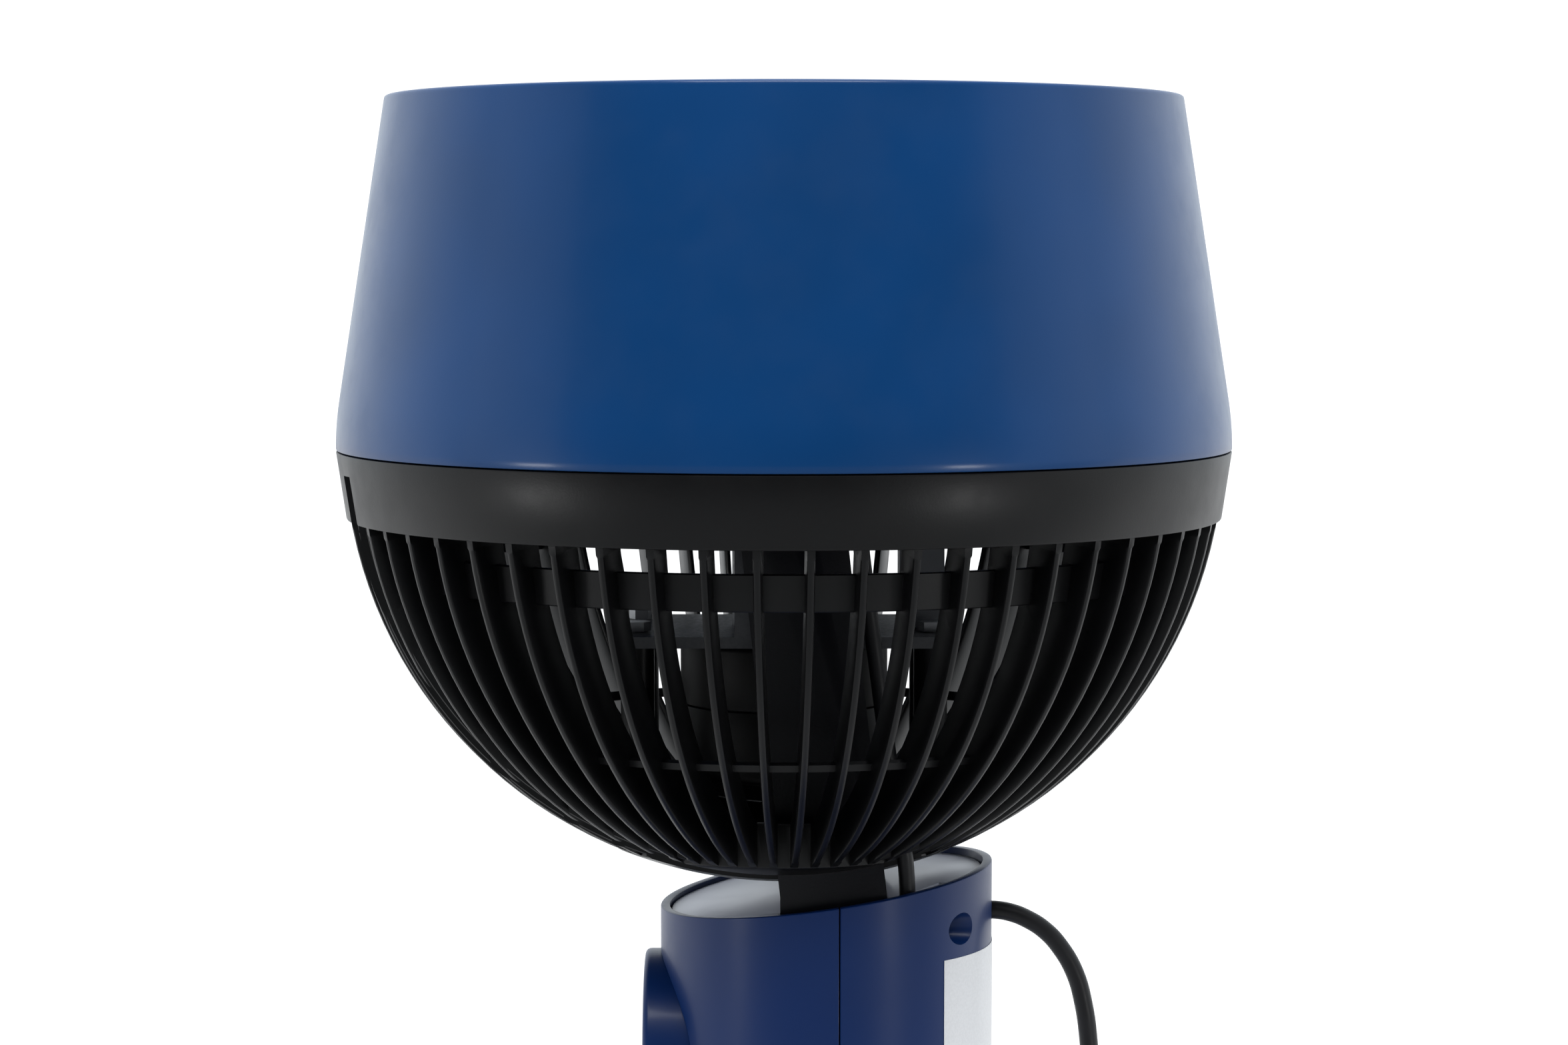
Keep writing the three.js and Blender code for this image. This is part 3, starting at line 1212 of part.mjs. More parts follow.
function coilPoints() {
  const count = COIL_TURNS * COIL_STEPS_PER_TURN;
  const turns = Array.from({ length: count + 1 }, (_, i) => coilPoint(i / COIL_STEPS_PER_TURN));
  const first = turns[0].clone();
  const last = turns.at(-1).clone();
  first.y -= 2 * CORD_RADIUS;
  last.y -= COIL_TAIL;
  return [first, ...turns, last];
}

// The least space between two turns, measured between points that lie over half a turn apart.
function leastCoilGap(points) {
  let least = Infinity;
  points.forEach((a, i) => {
    for (let j = i + COIL_STEPS_PER_TURN / 2; j < points.length; j++) {
      least = Math.min(least, a.distanceTo(points[j]));
    }
  });
  return least - 2 * CORD_RADIUS;
}

// A tube through the points, with one ring of six corners at each and a cap on each end.
function mainsCordCoil() {
  const points = coilPoints();
  console.log("least gap between the coil's turns, mm: " + leastCoilGap(points).toFixed(2));
  const sides = 6;
  const positions = [];
  points.forEach((here, i) => {
    const before = points[Math.max(i - 1, 0)];
    const after = points[Math.min(i + 1, points.length - 1)];
    const ahead = after.clone().sub(before).setZ(0).normalize();
    const across = point(ahead.y, -ahead.x, 0);
    for (const [u, v] of arc(CORD_RADIUS, 0, 2 * Math.PI, sides).slice(0, sides)) {
      positions.push(here.x + across.x * u, here.y + across.y * u, here.z + v);
    }
  });
  const index = [];
  for (let i = 0; i + 1 < points.length; i++) {
    for (let k = 0; k < sides; k++) {
      const a = i * sides + k;
      const b = i * sides + ((k + 1) % sides);
      index.push(a, b, b + sides, a, b + sides, a + sides);
    }
  }
  const end = (points.length - 1) * sides;
  for (let k = 1; k + 1 < sides; k++) {
    index.push(0, k + 1, k);
    index.push(end, end + k, end + k + 1);
  }
  const geometry = new THREE.BufferGeometry();
  geometry.setAttribute("position", new THREE.Float32BufferAttribute(positions, 3));
  geometry.setIndex(index);
  return geometry;
}

// A slim two-pin plug that lies beside the coil: a tapered body, flat on the table.
function mainsPlug() {
  const half = LAYER_HIGH;
  const profile = outline([
    [-CORD_RADIUS - 1, 0],
    [CORD_RADIUS + 1, 0],
    [PLUG_PIN_SPACING / 2 + 4, 14],
    [PLUG_PIN_SPACING / 2 + 4, PLUG_LENGTH],
    [-PLUG_PIN_SPACING / 2 - 4, PLUG_LENGTH],
    [-PLUG_PIN_SPACING / 2 - 4, 14],
  ]);
  const body = solidOf(extruded(profile, 2 * half - 0.2).translate(0, 0, -half + 0.1));
  const pins = [1, -1].map((side) => {
    const pin = facingRear(disc(PLUG_PIN_RADIUS, PLUG_LENGTH - 2, PLUG_LENGTH + PLUG_PIN_LENGTH));
    return solidOf(pin.translate((side * PLUG_PIN_SPACING) / 2, 0, 0));
  });
  return join([body, ...pins]);
}

// The lead from the switch to the motor: up inside the column, out through the cap, and up
// behind the right-hand prong to its clip.
const CLIP_HEIGHT = 8;
const CLIP_BOTTOM = PIVOT_HEIGHT - 17;

// A place on the lead's way up: its share of the height between the column's upper screws
// and the clip, and its distance from the prong's rear edge.
function climbing(share, distance) {
  const z = THREE.MathUtils.lerp(SCREW_Z, CLIP_BOTTOM - TOUCH_GAP, share);
  return [LEAD_X + share / 2, prongRearAt(z) + distance, z];
}

function motorLead() {
  const route = [
    [9, 3.5, DIAL_Z],
    [13, 12, DIAL_Z - 1.5],
    [20, 24, DIAL_Z - 1],
    [27, LEAD_Y - 1, DIAL_Z + 6],
    [LEAD_X - 1.2, LEAD_Y, DIAL_Z + 20],
    [LEAD_X, LEAD_Y, SCREW_Z - 4],
    [LEAD_X, LEAD_Y, SCREW_Z + 8],
    climbing(0.18, 5.9),
    climbing(0.39, 4.6),
    climbing(0.66, 3.9),
    climbing(0.88, 3.3),
    climbing(1, 3.3),
  ].map(([x, y, z]) => point(x, y, z));
  return tube(new THREE.CatmullRomCurve3(route), LEAD_RADIUS, 8, 12);
}

function leadClip() {
  const prongEdge = prongRearAt(CLIP_BOTTOM);
  return block(
    [PRONG_INNER + 0.2, PRONG_INNER + 5.6],
    [prongEdge + TOUCH_GAP, prongEdge + 7],
    [CLIP_BOTTOM, CLIP_BOTTOM + CLIP_HEIGHT],
  );
}

// ---------------------------------------------------------------------------
// Assembly
// ---------------------------------------------------------------------------

const fan = new THREE.Group();

// Base
const base = new THREE.Group();
base.position.set(0, COLUMN_SET_BACK, 0);
fan.add(base);
part(base, "base_cover", baseCover(), BLUE);
part(base, "base_plate", basePlate(), BLACK);
part(
  base,
  "ballast_disc",
  disc(BALLAST_RADIUS, BALLAST_LOW, BALLAST_LOW + BALLAST_THICKNESS, BODY_SIDES),
  STEEL,
);
footPlaces().forEach(([x, y], i) => {
  part(base, "foot_pad_" + (i + 1), footPad(), RUBBER).position.set(x, y, 0);
});
baseScrewPlaces().forEach(([x, y], i) => {
  const fitted = part(base, "base_screw_" + (i + 1), screw(7), STEEL);
  fitted.rotation.x = Math.PI;
  fitted.position.set(x, y, BASE_BOTTOM - TOUCH_GAP);
});

// Column
const column = new THREE.Group();
fan.add(column);
part(column, "column_front_shell", columnFrontShell(), BLUE);
part(column, "column_rear_shell", columnRearShell(), BLUE);
part(column, "column_cap", columnCap(), SILVER);
const columnScrews = [
  ["upper", SCREW_Z, UPPER_SCREW_LENGTH],
  ["lower", LOWER_SCREW_Z, LOWER_SCREW_LENGTH],
];
for (const [level, z, length] of columnScrews) {
  for (const [name, side] of [["right", 1], ["left", -1]]) {
    const fitted = part(column, "column_screw_" + level + "_" + name, screw(length), STEEL);
    fitted.rotation.x = -Math.PI / 2;
    fitted.position.set(side * SCREW_X, RECESS_FLOOR_Y + TOUCH_GAP, z);
  }
}

// Fork and pivots
const fork = new THREE.Group();
fan.add(fork);
part(fork, "fork_foot", forkFoot(), BLACK);
for (const [name, side] of [["right", 1], ["left", -1]]) {
  part(fork, "fork_prong_" + name, prong(side), BLACK);
  const under = part(fork, "prong_screw_" + name, screw(16), STEEL);
  under.rotation.x = Math.PI;
  under.position.set(side * PRONG_SCREW_X, FORK_Y, FOOT_BOTTOM - 2 * TOUCH_GAP - PRONG_FLANGE_THICKNESS);
  const through = part(fork, "fork_screw_" + name, screw(FOOT_REAR_Y - FORK_FRONT_Y + 8), STEEL);
  through.rotation.x = -Math.PI / 2;
  through.position.set(side * FORK_SCREW_X, FOOT_REAR_Y + TOUCH_GAP, FORK_SCREW_Z);
  part(fork, "pivot_pin_" + name, pivotPin(side), BLACK).position.z = PIVOT_HEIGHT;
  part(fork, "pivot_nut_" + name, pivotNut(side), STEEL).position.z = PIVOT_HEIGHT;
  part(fork, "friction_washer_" + name, frictionWasher(side), WHITE).position.z = PIVOT_HEIGHT;
}

// Controls
const controls = new THREE.Group();
controls.position.z = DIAL_Z;
fan.add(controls);
part(controls, "speed_dial", speedDial(), BLUE);
part(
  controls,
  "switch_shaft",
  facingRear(disc(SWITCH_SHAFT_RADIUS, DIAL_BORE_END + TOUCH_GAP, SWITCH_FRONT_Y + 8 - TOUCH_GAP)),
  STEEL,
);
part(controls, "rotary_switch", rotarySwitch(), GREY);
part(controls, "switch_nut", switchNut(), STEEL);

// Cords
const cords = new THREE.Group();
fan.add(cords);
part(cords, "cord_gland", cordGland(), RUBBER);
part(cords, "mains_cord", mainsCord(), RUBBER);
part(cords, "mains_cord_coil", mainsCordCoil(), RUBBER);
const plug = part(cords, "mains_plug", mainsPlug(), RUBBER);
plug.rotation.z = Math.PI;
plug.position.set(-2 * COIL_OUTER_RADIUS, COIL_CENTRE_Y - COIL_TAIL - TOUCH_GAP, LAYER_HIGH);
part(cords, "motor_lead", motorLead(), RUBBER);
part(cords, "lead_clip", leadClip(), BLACK);

// Head
const head = new THREE.Group();
head.position.z = PIVOT_HEIGHT;
fan.add(head);
part(head, "outlet_shroud", outletShroud(), BLUE);
part(head, "front_grille", frontGrille(), BLACK);
part(head, "grille_badge", grilleBadge(), SILVER);
part(head, "rear_grille", rearGrille(), BLACK);
part(head, "tilt_bracket", tiltBracket(), ALUMINIUM);
part(head, "motor_front_shell", motorFrontShell(), BLACK);
part(head, "motor_rear_shell", motorRearShell(), BLACK);
part(
  head,
  "stator",
  ring(STATOR_INNER, STATOR_OUTER, STATOR_TOP - STATOR_LENGTH, STATOR_TOP, MOTOR_SIDES),
  STEEL,
);
part(head, "bushing_front", bushing(BEARING_TUBE_TOP - BUSHING_LENGTH, BUSHING_LENGTH), BRASS);
part(head, "bushing_rear", bushing(REAR_POCKET_FLOOR + TOUCH_GAP, REAR_BUSHING_LENGTH - 1), BRASS);
const [capacitorX, capacitorY, capacitorZ] = CAPACITOR_SIZE;
part(
  head,
  "capacitor",
  block(
    [-capacitorX / 2, capacitorX / 2],
    [WEB_HALF_LENGTH - 1 - capacitorY, WEB_HALF_LENGTH - 1],
    [-WEB_DROP + TOUCH_GAP, -WEB_DROP + TOUCH_GAP + capacitorZ],
  ),
  GREY,
);
postPlaces().forEach(([x, y], i) => {
  part(head, "bracket_screw_" + (i + 1), screw(14), STEEL).position.set(x, y, TOUCH_GAP - WEB_DROP);
});

// Impeller, which turns in the head
const spinning = new THREE.Group();
head.add(spinning);
part(spinning, "impeller", impeller(), BLACK);
part(spinning, "motor_shaft", disc(SHAFT_RADIUS, SHAFT_BOTTOM, SHAFT_TOP), STEEL);
part(
  spinning,
  "rotor",
  ring(SHAFT_RADIUS + TOUCH_GAP, STATOR_INNER - AIR_GAP, ROTOR_TOP - ROTOR_LENGTH, ROTOR_TOP, MOTOR_SIDES),
  STEEL,
);
part(spinning, "spinner_nut", spinnerNut(), BLACK);

export default fan;
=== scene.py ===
# %% [markdown]
# # An air circulator fan, dressed
# The fan stands on a table with its head turned straight up: a blue outlet cone on a black
# ribbed ball, a fork that holds the ball by its sides, a round blue column and a weighted
# base. The frame holds every part as a plain solid with few faces. Here the parts that show
# get their real roundness, and all of them get a finish. One unit is a metre, +Z is up, and
# the tilt axis lies along X.

# %% Load the frame
import json
import math

import bmesh
import bpy
from mathutils import Matrix, Vector

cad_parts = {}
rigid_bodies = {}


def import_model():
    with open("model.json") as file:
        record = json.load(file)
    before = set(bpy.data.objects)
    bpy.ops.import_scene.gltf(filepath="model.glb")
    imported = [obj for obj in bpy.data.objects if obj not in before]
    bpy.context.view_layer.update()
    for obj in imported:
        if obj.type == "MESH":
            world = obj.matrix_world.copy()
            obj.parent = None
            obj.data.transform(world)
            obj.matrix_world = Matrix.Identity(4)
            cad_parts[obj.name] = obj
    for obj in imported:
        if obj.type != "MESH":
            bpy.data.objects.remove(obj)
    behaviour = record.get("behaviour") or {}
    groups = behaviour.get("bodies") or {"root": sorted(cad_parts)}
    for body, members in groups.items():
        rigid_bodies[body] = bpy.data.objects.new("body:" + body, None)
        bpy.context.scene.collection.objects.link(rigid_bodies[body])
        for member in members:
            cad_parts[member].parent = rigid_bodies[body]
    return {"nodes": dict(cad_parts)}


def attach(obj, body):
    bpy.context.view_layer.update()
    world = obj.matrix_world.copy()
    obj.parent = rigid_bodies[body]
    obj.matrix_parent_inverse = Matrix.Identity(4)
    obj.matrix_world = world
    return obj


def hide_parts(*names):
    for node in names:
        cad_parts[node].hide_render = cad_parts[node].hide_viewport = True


for leftover in list(bpy.data.objects):
    bpy.data.objects.remove(leftover)
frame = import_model()
scene = bpy.context.scene
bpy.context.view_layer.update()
MM = 0.001

# %% [markdown]
# ## The camera
# The photograph is taken from the fan's side, nearly a metre away and a little above the
# tilt axis, with a lens of some 83 mm. The camera comes first because the cord's unseen
# length is coiled where this view doesn't reach.

# %% Put the camera at the side
CAMERA_DISTANCE, CAMERA_HEIGHT = 0.970, 0.3269
CAMERA_PITCH = 4.36  # degrees, downwards
FOCAL_PIXELS, IMAGE_PIXELS = 5400, 2352


def placed(name, data):
    """A new object for some data, linked into the scene."""
    made = bpy.data.objects.new(name, data)
    scene.collection.objects.link(made)
    return made


optics = bpy.data.cameras.new("side_camera")
optics.sensor_width = 36
optics.lens = optics.sensor_width * FOCAL_PIXELS / IMAGE_PIXELS
camera = placed("side_camera", optics)
camera.location = (CAMERA_DISTANCE, 0, CAMERA_HEIGHT)
camera.rotation_euler = (math.radians(90 - CAMERA_PITCH), 0, math.radians(90))
scene.camera = camera
print("lens", round(optics.lens, 2), "mm")

# %% [markdown]
# ## The fan's measures
# These repeat the frame's own measures in millimetres, so that each new piece fits where
# the plain one was. Heights on the head and the impeller are counted from the tilt axis.

# %% Name the measures
PIVOT_Z = 275
SEAM_RADIUS, RIM_RADIUS, RIM_Z = 120, 106.6, 92.2
SHROUD_WALL = 2.4
BALL_RADIUS = 118
RIB_COUNT, RIB_DEPTH, RIB_THICKNESS = 56, 10.5, 2.0
BAND_TOP, BAND_BOTTOM = -1.8, -20.0
CAP_RADIUS = 47
SLOT_INNER, SLOT_OUTER = 31.0, 39.0
SIDES = ("right", 1), ("left", -1)
COLUMN_Y, COLUMN_RADIUS, COLUMN_WALL = 11.5, 45.0, 2.5
COLUMN_FOOT, COLUMN_HEIGHT = 30.3, 180
SLANT = math.radians(8)
SLANT_UP = Vector((0, -math.sin(SLANT), math.cos(SLANT)))
SCREW_X, SCREW_Z, LOWER_SCREW_Z = 27.4, 147.1, 50.3
DIAL_Z, DIAL_RADIUS, DIAL_FRONT_Y = 109.74, 26.4, -37.8
CORD_RADIUS, LEAD_RADIUS = 2.5, 2.2


def slanted_height(distance, y):
    """The height at y of the slanted plane that lies a distance below the tilt axis."""
    return PIVOT_Z - distance / math.cos(SLANT) + y * math.tan(SLANT)


print("column's rim at its axis:", round(slanted_height(120.2, COLUMN_Y), 2), "mm")

# %% [markdown]
# ## The mains cord
# A real mains cord is a soft thing of fixed length. It leaves the column level, bends down
# under its own weight, and reaches the table behind the base, where its unseen length is
# wound into a small coil of two layers. A mesh tube could be swept by hand, but a curve
# with a round bevel is what a cord is: one line and a thickness.

# %% Route the cord
HANGING = [
    (55.3, 147.1), (57.5, 147.1), (62, 146.3), (66.4, 144.5), (71, 141.5), (75, 137.2),
    (79.3, 129.8), (81.8, 121), (83.2, 111), (84, 98), (85.3, 82), (88.5, 64), (94, 46),
    (101.5, 30), (111, 15.5), (121, 6), (131, 3.0), (138, 2.6), (148, 2.6),
]
COIL_TURNS, TURNS_PER_LAYER, STEPS_PER_TURN = 6.5, 3, 18
COIL_OUTER, COIL_PITCH, COIL_TUCK, COIL_CENTRE_Y = 38.5, 5.5, 0.9, 163.0
LAYER_LOW, LAYER_HIGH = 2.6, 8.1
COIL_TAIL = 25


def coil_point(turns):
    """Where the coiled cord is after some turns: it winds in, climbs a layer, winds out."""
    inwards = min(turns, TURNS_PER_LAYER)
    outwards = max(turns - TURNS_PER_LAYER - 0.5, 0)
    climbed = min(max((turns - TURNS_PER_LAYER) / 0.5, 0), 1)
    tuck = COIL_TUCK * math.sin(math.pi * climbed)
    radius = COIL_OUTER - COIL_PITCH * (inwards - outwards) - tuck
    angle = 2 * math.pi * turns
    return (
        radius * math.cos(angle) - COIL_OUTER,
        radius * math.sin(angle) + COIL_CENTRE_Y,
        LAYER_LOW + (LAYER_HIGH - LAYER_LOW) * climbed,
    )


coil_route = [coil_point(i / STEPS_PER_TURN) for i in range(int(COIL_TURNS * STEPS_PER_TURN) + 1)]
end_x, end_y, end_z = coil_route[-1]
tail = [(end_x, end_y - COIL_TAIL * share, end_z) for share in (0.5, 1)]
mains_route = [(0, y, z) for y, z in HANGING] + coil_route + tail
print("cord points:", len(HANGING), "hanging and", len(coil_route), "in the coil")

# %% Make a cord from its route


def cord_curve(name, route, radius):
    """A round curve through the route's points, which are in millimetres.

    Its points carry the radius, and the bevel's own depth is one. The curve's box, which
    the other cameras are placed by, is then only as much thicker as the cord is.
    """
    data = bpy.data.curves.new(name, "CURVE")
    data.dimensions = "3D"
    data.resolution_u, data.bevel_resolution, data.bevel_depth = 5, 4, 1
    data.use_fill_caps = True
    spline = data.splines.new("BEZIER")
    spline.bezier_points.add(len(route) - 1)
    for place, p in zip(spline.bezier_points, route):
        place.co, place.radius = Vector(p) * MM, radius * MM
        place.handle_left_type = place.handle_right_type = "AUTO"
    return placed(name, data)


def route_length(route):
    return sum(math.dist(a, b) for a, b in zip(route, route[1:])) * MM


mains_flex = cord_curve("mains_flex", mains_route, CORD_RADIUS)
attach(mains_flex, "stand")
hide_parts("mains_cord", "mains_cord_coil")
print("mains cord:", round(route_length(mains_route), 3), "m")

# %% [markdown]
# ## The motor's lead
# A thinner lead comes up from the switch, out through a curved notch in the column's cap,
# and climbs behind the near prong to a clip. Both its ends are inside the fan.

# %% Route the motor's lead
LEAD_ROUTE = [
    (9, 3.5, 109.74), (13, 12, 108.24), (20, 24, 108.74), (27, 31.5, 115.74),
    (32.4, 32.5, 129.74), (33.6, 32.5, 143.1), (33.6, 32.5, 155.1), (33.69, 31.84, 167.04),
    (33.8, 27.97, 190.26), (33.93, 23.97, 220.11), (34.04, 20.68, 244.43), (34.1, 19.21, 257.7),
]
motor_flex = cord_curve("motor_flex", LEAD_ROUTE, LEAD_RADIUS)
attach(motor_flex, "stand")
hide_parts("motor_lead")
print("motor lead:", round(route_length(LEAD_ROUTE), 3), "m")

# %% [markdown]
# ## Shader maths in plain Python
# A material is a graph of small nodes. Written out one by one, even "one minus the mask" is
# four lines. The class below wraps a node's output, so that an expression on such values
# adds the Math nodes by itself. A `Look` is a material in the making: one method adds any
# node, and `set` writes a value or a link to a socket of its shader.

# %% Wrap a socket, and a material


class Field:
    """A number or colour that varies over a surface."""

    def __init__(self, look, socket):
        self.look, self.socket = look, socket

    def maths(self, operation, a, b):
        return self.look.node("ShaderNodeMath", {"operation": operation}, {0: a, 1: b})

    def __add__(self, other):
        return self.maths("ADD", self, other)

    def __sub__(self, other):
        return self.maths("SUBTRACT", self, other)

    def __mul__(self, other):
        return self.maths("MULTIPLY", self, other)

    def __rsub__(self, other):
        return self.maths("SUBTRACT", other, self)

    __radd__ = __add__
    __rmul__ = __mul__


class Graph:
    """A node tree that nodes are added to."""

    def __init__(self, tree):
        self.tree = tree

    def node(self, kind, settings=None, sockets=None, output=0):
        made = self.tree.nodes.new(kind)
        for key, value in (settings or {}).items():
            setattr(made, key, value)
        for key, value in (sockets or {}).items():
            self.put(made.inputs[key], value)
        return Field(self, made.outputs[output])

    def put(self, socket, value):
        if isinstance(value, Field):
            self.tree.links.new(value.socket, socket)
        else:
            socket.default_value = value

    def ramp(self, value, low, high):
        """The value eased from 0 at low to 1 at high, and held there beyond them."""
        settings = {"interpolation_type": "SMOOTHSTEP"}
        sockets = {"Value": value, "From Min": low, "From Max": high}
        return self.node("ShaderNodeMapRange", settings, sockets)

    def mixed(self, share, first, second):
        settings = {"data_type": "RGBA"}
        return self.node("ShaderNodeMix", settings, {0: share, 6: first, 7: second}, output=2)


class Look(Graph):
    """A material with one Principled shader."""

    def __init__(self, name, **sockets):
        self.material = bpy.data.materials.new(name)
        self.material.use_nodes = True
        super().__init__(self.material.node_tree)
        self.shader = self.tree.nodes["Principled BSDF"]
        self.set(**sockets)

    def set(self, **sockets):
        for key, value in sockets.items():
            self.put(self.shader.inputs[key.replace("_", " ")], value)

    def place(self):
        return self.node("ShaderNodeTexCoord", output=3)

    def noise(self, scale, detail=3.0, rough=0.55, place=None):
        sockets = dict(Vector=place or self.place(), Scale=scale, Detail=detail, Roughness=rough)
        return self.node("ShaderNodeTexNoise", sockets=sockets)

    def bump(self, height, strength, distance, onto=None):
        sockets = dict(Height=height, Strength=strength, Distance=distance)
        if onto:
            sockets["Normal"] = onto
        return self.node("ShaderNodeBump", sockets=sockets)


def linear(srgb, share=1.0):
    """A colour from its 0 to 255 values, each times a share, as the shader wants it."""
    parts = [c * share / 255 for c in srgb]
    return [p / 12.92 if p <= 0.04045 else ((p + 0.055) / 1.055) ** 2.4 for p in parts] + [1.0]


print("a middle grey is", round(linear((128, 128, 128))[0], 3), "to the shader")

# %% [markdown]
# ## Moulded plastics
# Nearly all of the fan is injection-moulded plastic. Its mould is spark-eroded, which leaves
# a grain of a few tenths of a millimetre, and handling leaves broad, faint differences in
# gloss. One recipe makes them all: fine noise for the grain, broad noise for a slight drift
# of the colour, and a middling one for the gloss.

# %% Mix a moulded plastic
GRAIN_SCALE = 1 / 0.0006


def moulded(name, srgb, rough, grain=0.15, drift=0.02, coat=0.0, specular=0.5):
    """A moulded plastic of one colour, with grain, and gloss that drifts over it."""
    look = Look(name, Specular_IOR_Level=specular, Coat_Weight=coat, Coat_Roughness=0.16)
    broad = look.noise(14, detail=2)
    hands = look.noise(60, detail=4, rough=0.6)
    grains = look.noise(GRAIN_SCALE, detail=2)
    pale = linear([min(255, c * (1 + drift) + 255 * drift * 0.03) for c in srgb])
    look.set(
        Base_Color=look.mixed(look.ramp(broad, 0.3, 0.7), linear(srgb, 1 - drift), pale),
        Roughness=look.ramp(hands, 0.35, 0.75) * 0.07 + rough,
        Normal=look.bump(grains, grain, 0.00006),
    )
    return look.material


SHROUD_BLUE = moulded("shroud_blue", (0, 57, 109), 0.30, drift=0.04, coat=0.3, specular=0.25)
COLUMN_BLUE = moulded(
    "column_blue", (2, 38, 91), 0.36, grain=0.20, drift=0.04, coat=0.15, specular=0.28
)
GRILLE_BLACK = moulded("grille_black", (9, 9, 11), 0.34, grain=0.25, drift=0.10, specular=0.35)
SILVER_PLASTIC = moulded("silver_plastic", (206, 208, 222), 0.30)
BADGE_SILVER = moulded("badge_silver", (148, 150, 158), 0.34)
SWITCH_GREY = moulded("switch_grey", (88, 90, 94), 0.45, grain=0.30, drift=0.08)
NYLON_WHITE = moulded("nylon_white", (216, 216, 210), 0.40)
MOTOR_BLACK = moulded("motor_black", (6, 6, 7), 0.45, grain=0.30, drift=0.10, specular=0.2)
FORK_BLACK = moulded("fork_black", (8, 8, 15), 0.34, grain=0.45, drift=0.10, specular=0.35)
print("plastics:", len(bpy.data.materials))

# %% [markdown]
# ## Rubber, metals and paper
# The cords are soft PVC, duller than the plastics, with a slow waviness from the extruder.
# Metal needs a metallic shader and gloss that varies: turned marks on the shaft, a cast skin
# on the bracket. The label is coated paper.

# %% Mix rubber, metal and paper


def soft_rubber(name, srgb, rough):
    look = Look(name, Specular_IOR_Level=0.4)
    waves = look.noise(160, detail=2)
    specks = look.noise(2200, detail=1)
    wavy = look.ramp(waves, 0.3, 0.7)
    look.set(
        Base_Color=look.mixed(wavy, linear(srgb), linear(srgb, 1.25)),
        Roughness=wavy * 0.10 + rough,
        Normal=look.bump(specks, 0.25, 0.00005, look.bump(waves, 0.15, 0.0003)),
    )
    return look.material


def metal(name, srgb, rough, stretch=(1, 1, 1), scale=600):
    """Metal whose gloss and height vary, stretched along a direction for turned marks."""
    look = Look(name, Metallic=1.0)
    place = look.node("ShaderNodeMapping", sockets={"Vector": look.place(), "Scale": stretch})
    marks = look.noise(scale, detail=4, rough=0.65, place=place)
    stains = look.noise(45, detail=3)
    look.set(
        Base_Color=look.mixed(look.ramp(stains, 0.35, 0.7), linear(srgb), linear(srgb, 0.86)),
        Roughness=look.ramp(marks, 0.3, 0.7) * 0.16 + rough,
        Normal=look.bump(marks, 0.2, 0.00004),
    )
    return look.material


def coated_paper(name, srgb):
    look = Look(name, Roughness=0.35, Specular_IOR_Level=0.4)
    fibres = look.noise(1400, detail=4)
    look.set(
        Base_Color=look.mixed(look.ramp(fibres, 0.3, 0.7), linear(srgb), linear(srgb, 0.97)),
        Normal=look.bump(fibres, 0.12, 0.00004),
    )
    return look.material


CORD_BLACK = soft_rubber("cord_black", (19, 19, 22), 0.40)
FOOT_RUBBER = soft_rubber("foot_rubber", (24, 24, 25), 0.75)
ZINC_STEEL = metal("zinc_steel", (186, 188, 192), 0.28)
TURNED_STEEL = metal("turned_steel", (176, 178, 182), 0.20, stretch=(1, 1, 40))
LAMINATED_STEEL = metal("laminated_steel", (110, 112, 116), 0.40, stretch=(1, 1, 30))
CAST_ALUMINIUM = metal("cast_aluminium", (104, 105, 108), 0.42, scale=900)
BRONZE = metal("sintered_bronze", (150, 112, 70), 0.45, scale=1500)
PIN_NICKEL = metal("pin_nickel", (190, 186, 176), 0.22)
LABEL_WHITE = coated_paper("label_white", (226, 226, 228))
print("materials:", len(bpy.data.materials))

# %% [markdown]
# ## Four ways to make a shape
# A profile spun round an axis gives all that is round. A strip of an arc, given a
# thickness, gives a rib or a rail. A block is a cube stretched and moved. Bevel then takes
# the hard edges off, because no moulded or stamped edge is sharp, and it is the small round
# edge that catches the light.

# %% Spin, soften and lay an arc
CLOSE = 0.0005  # millimetres: points nearer than this are one point


def outwards(bm):
    bmesh.ops.recalc_face_normals(bm, faces=bm.faces)
    return bm


def shift(bm, x=0, y=0, z=0):
    bmesh.ops.translate(bm, vec=(x, y, z), verts=bm.verts)
    return bm


def turn(bm, angle, axis):
    matrix = Matrix.Rotation(math.radians(angle), 3, axis)
    bmesh.ops.rotate(bm, matrix=matrix, verts=bm.verts)
    return bm


def sweep(bm, axis, angle, steps, closed=False):
    """Spins the edges that are there round an axis, which leaves faces behind them."""
    bmesh.ops.spin(
        bm, geom=bm.verts[:] + bm.edges[:], axis=axis, angle=angle, steps=steps,
        use_merge=closed,
    )


def spun(points, sides=192):
    """A closed solid from (radius, height) points, spun round Z."""
    bm = bmesh.new()
    verts = [bm.verts.new((r, 0, z)) for r, z in points]
    for a, b in zip(verts, verts[1:] + verts[:1]):
        bm.edges.new((a, b))
    sweep(bm, (0, 0, 1), 2 * math.pi, sides, closed=True)
    bmesh.ops.remove_doubles(bm, verts=bm.verts, dist=CLOSE)
    return outwards(bm)


def soften(bm, width, segments=2, sharper=30, where=None):
    """Rounds the edges whose faces meet at more than an angle in degrees."""
    limit = math.radians(sharper)
    edges = [
        e for e in bm.edges
        if len(e.link_faces) == 2 and e.calc_face_angle(0) > limit and (where is None or where(e))
    ]
    bmesh.ops.bevel(
        bm, geom=edges, offset=width, segments=segments, profile=0.5, affect="EDGES",
        clamp_overlap=True, material=-1,
    )
    return bm


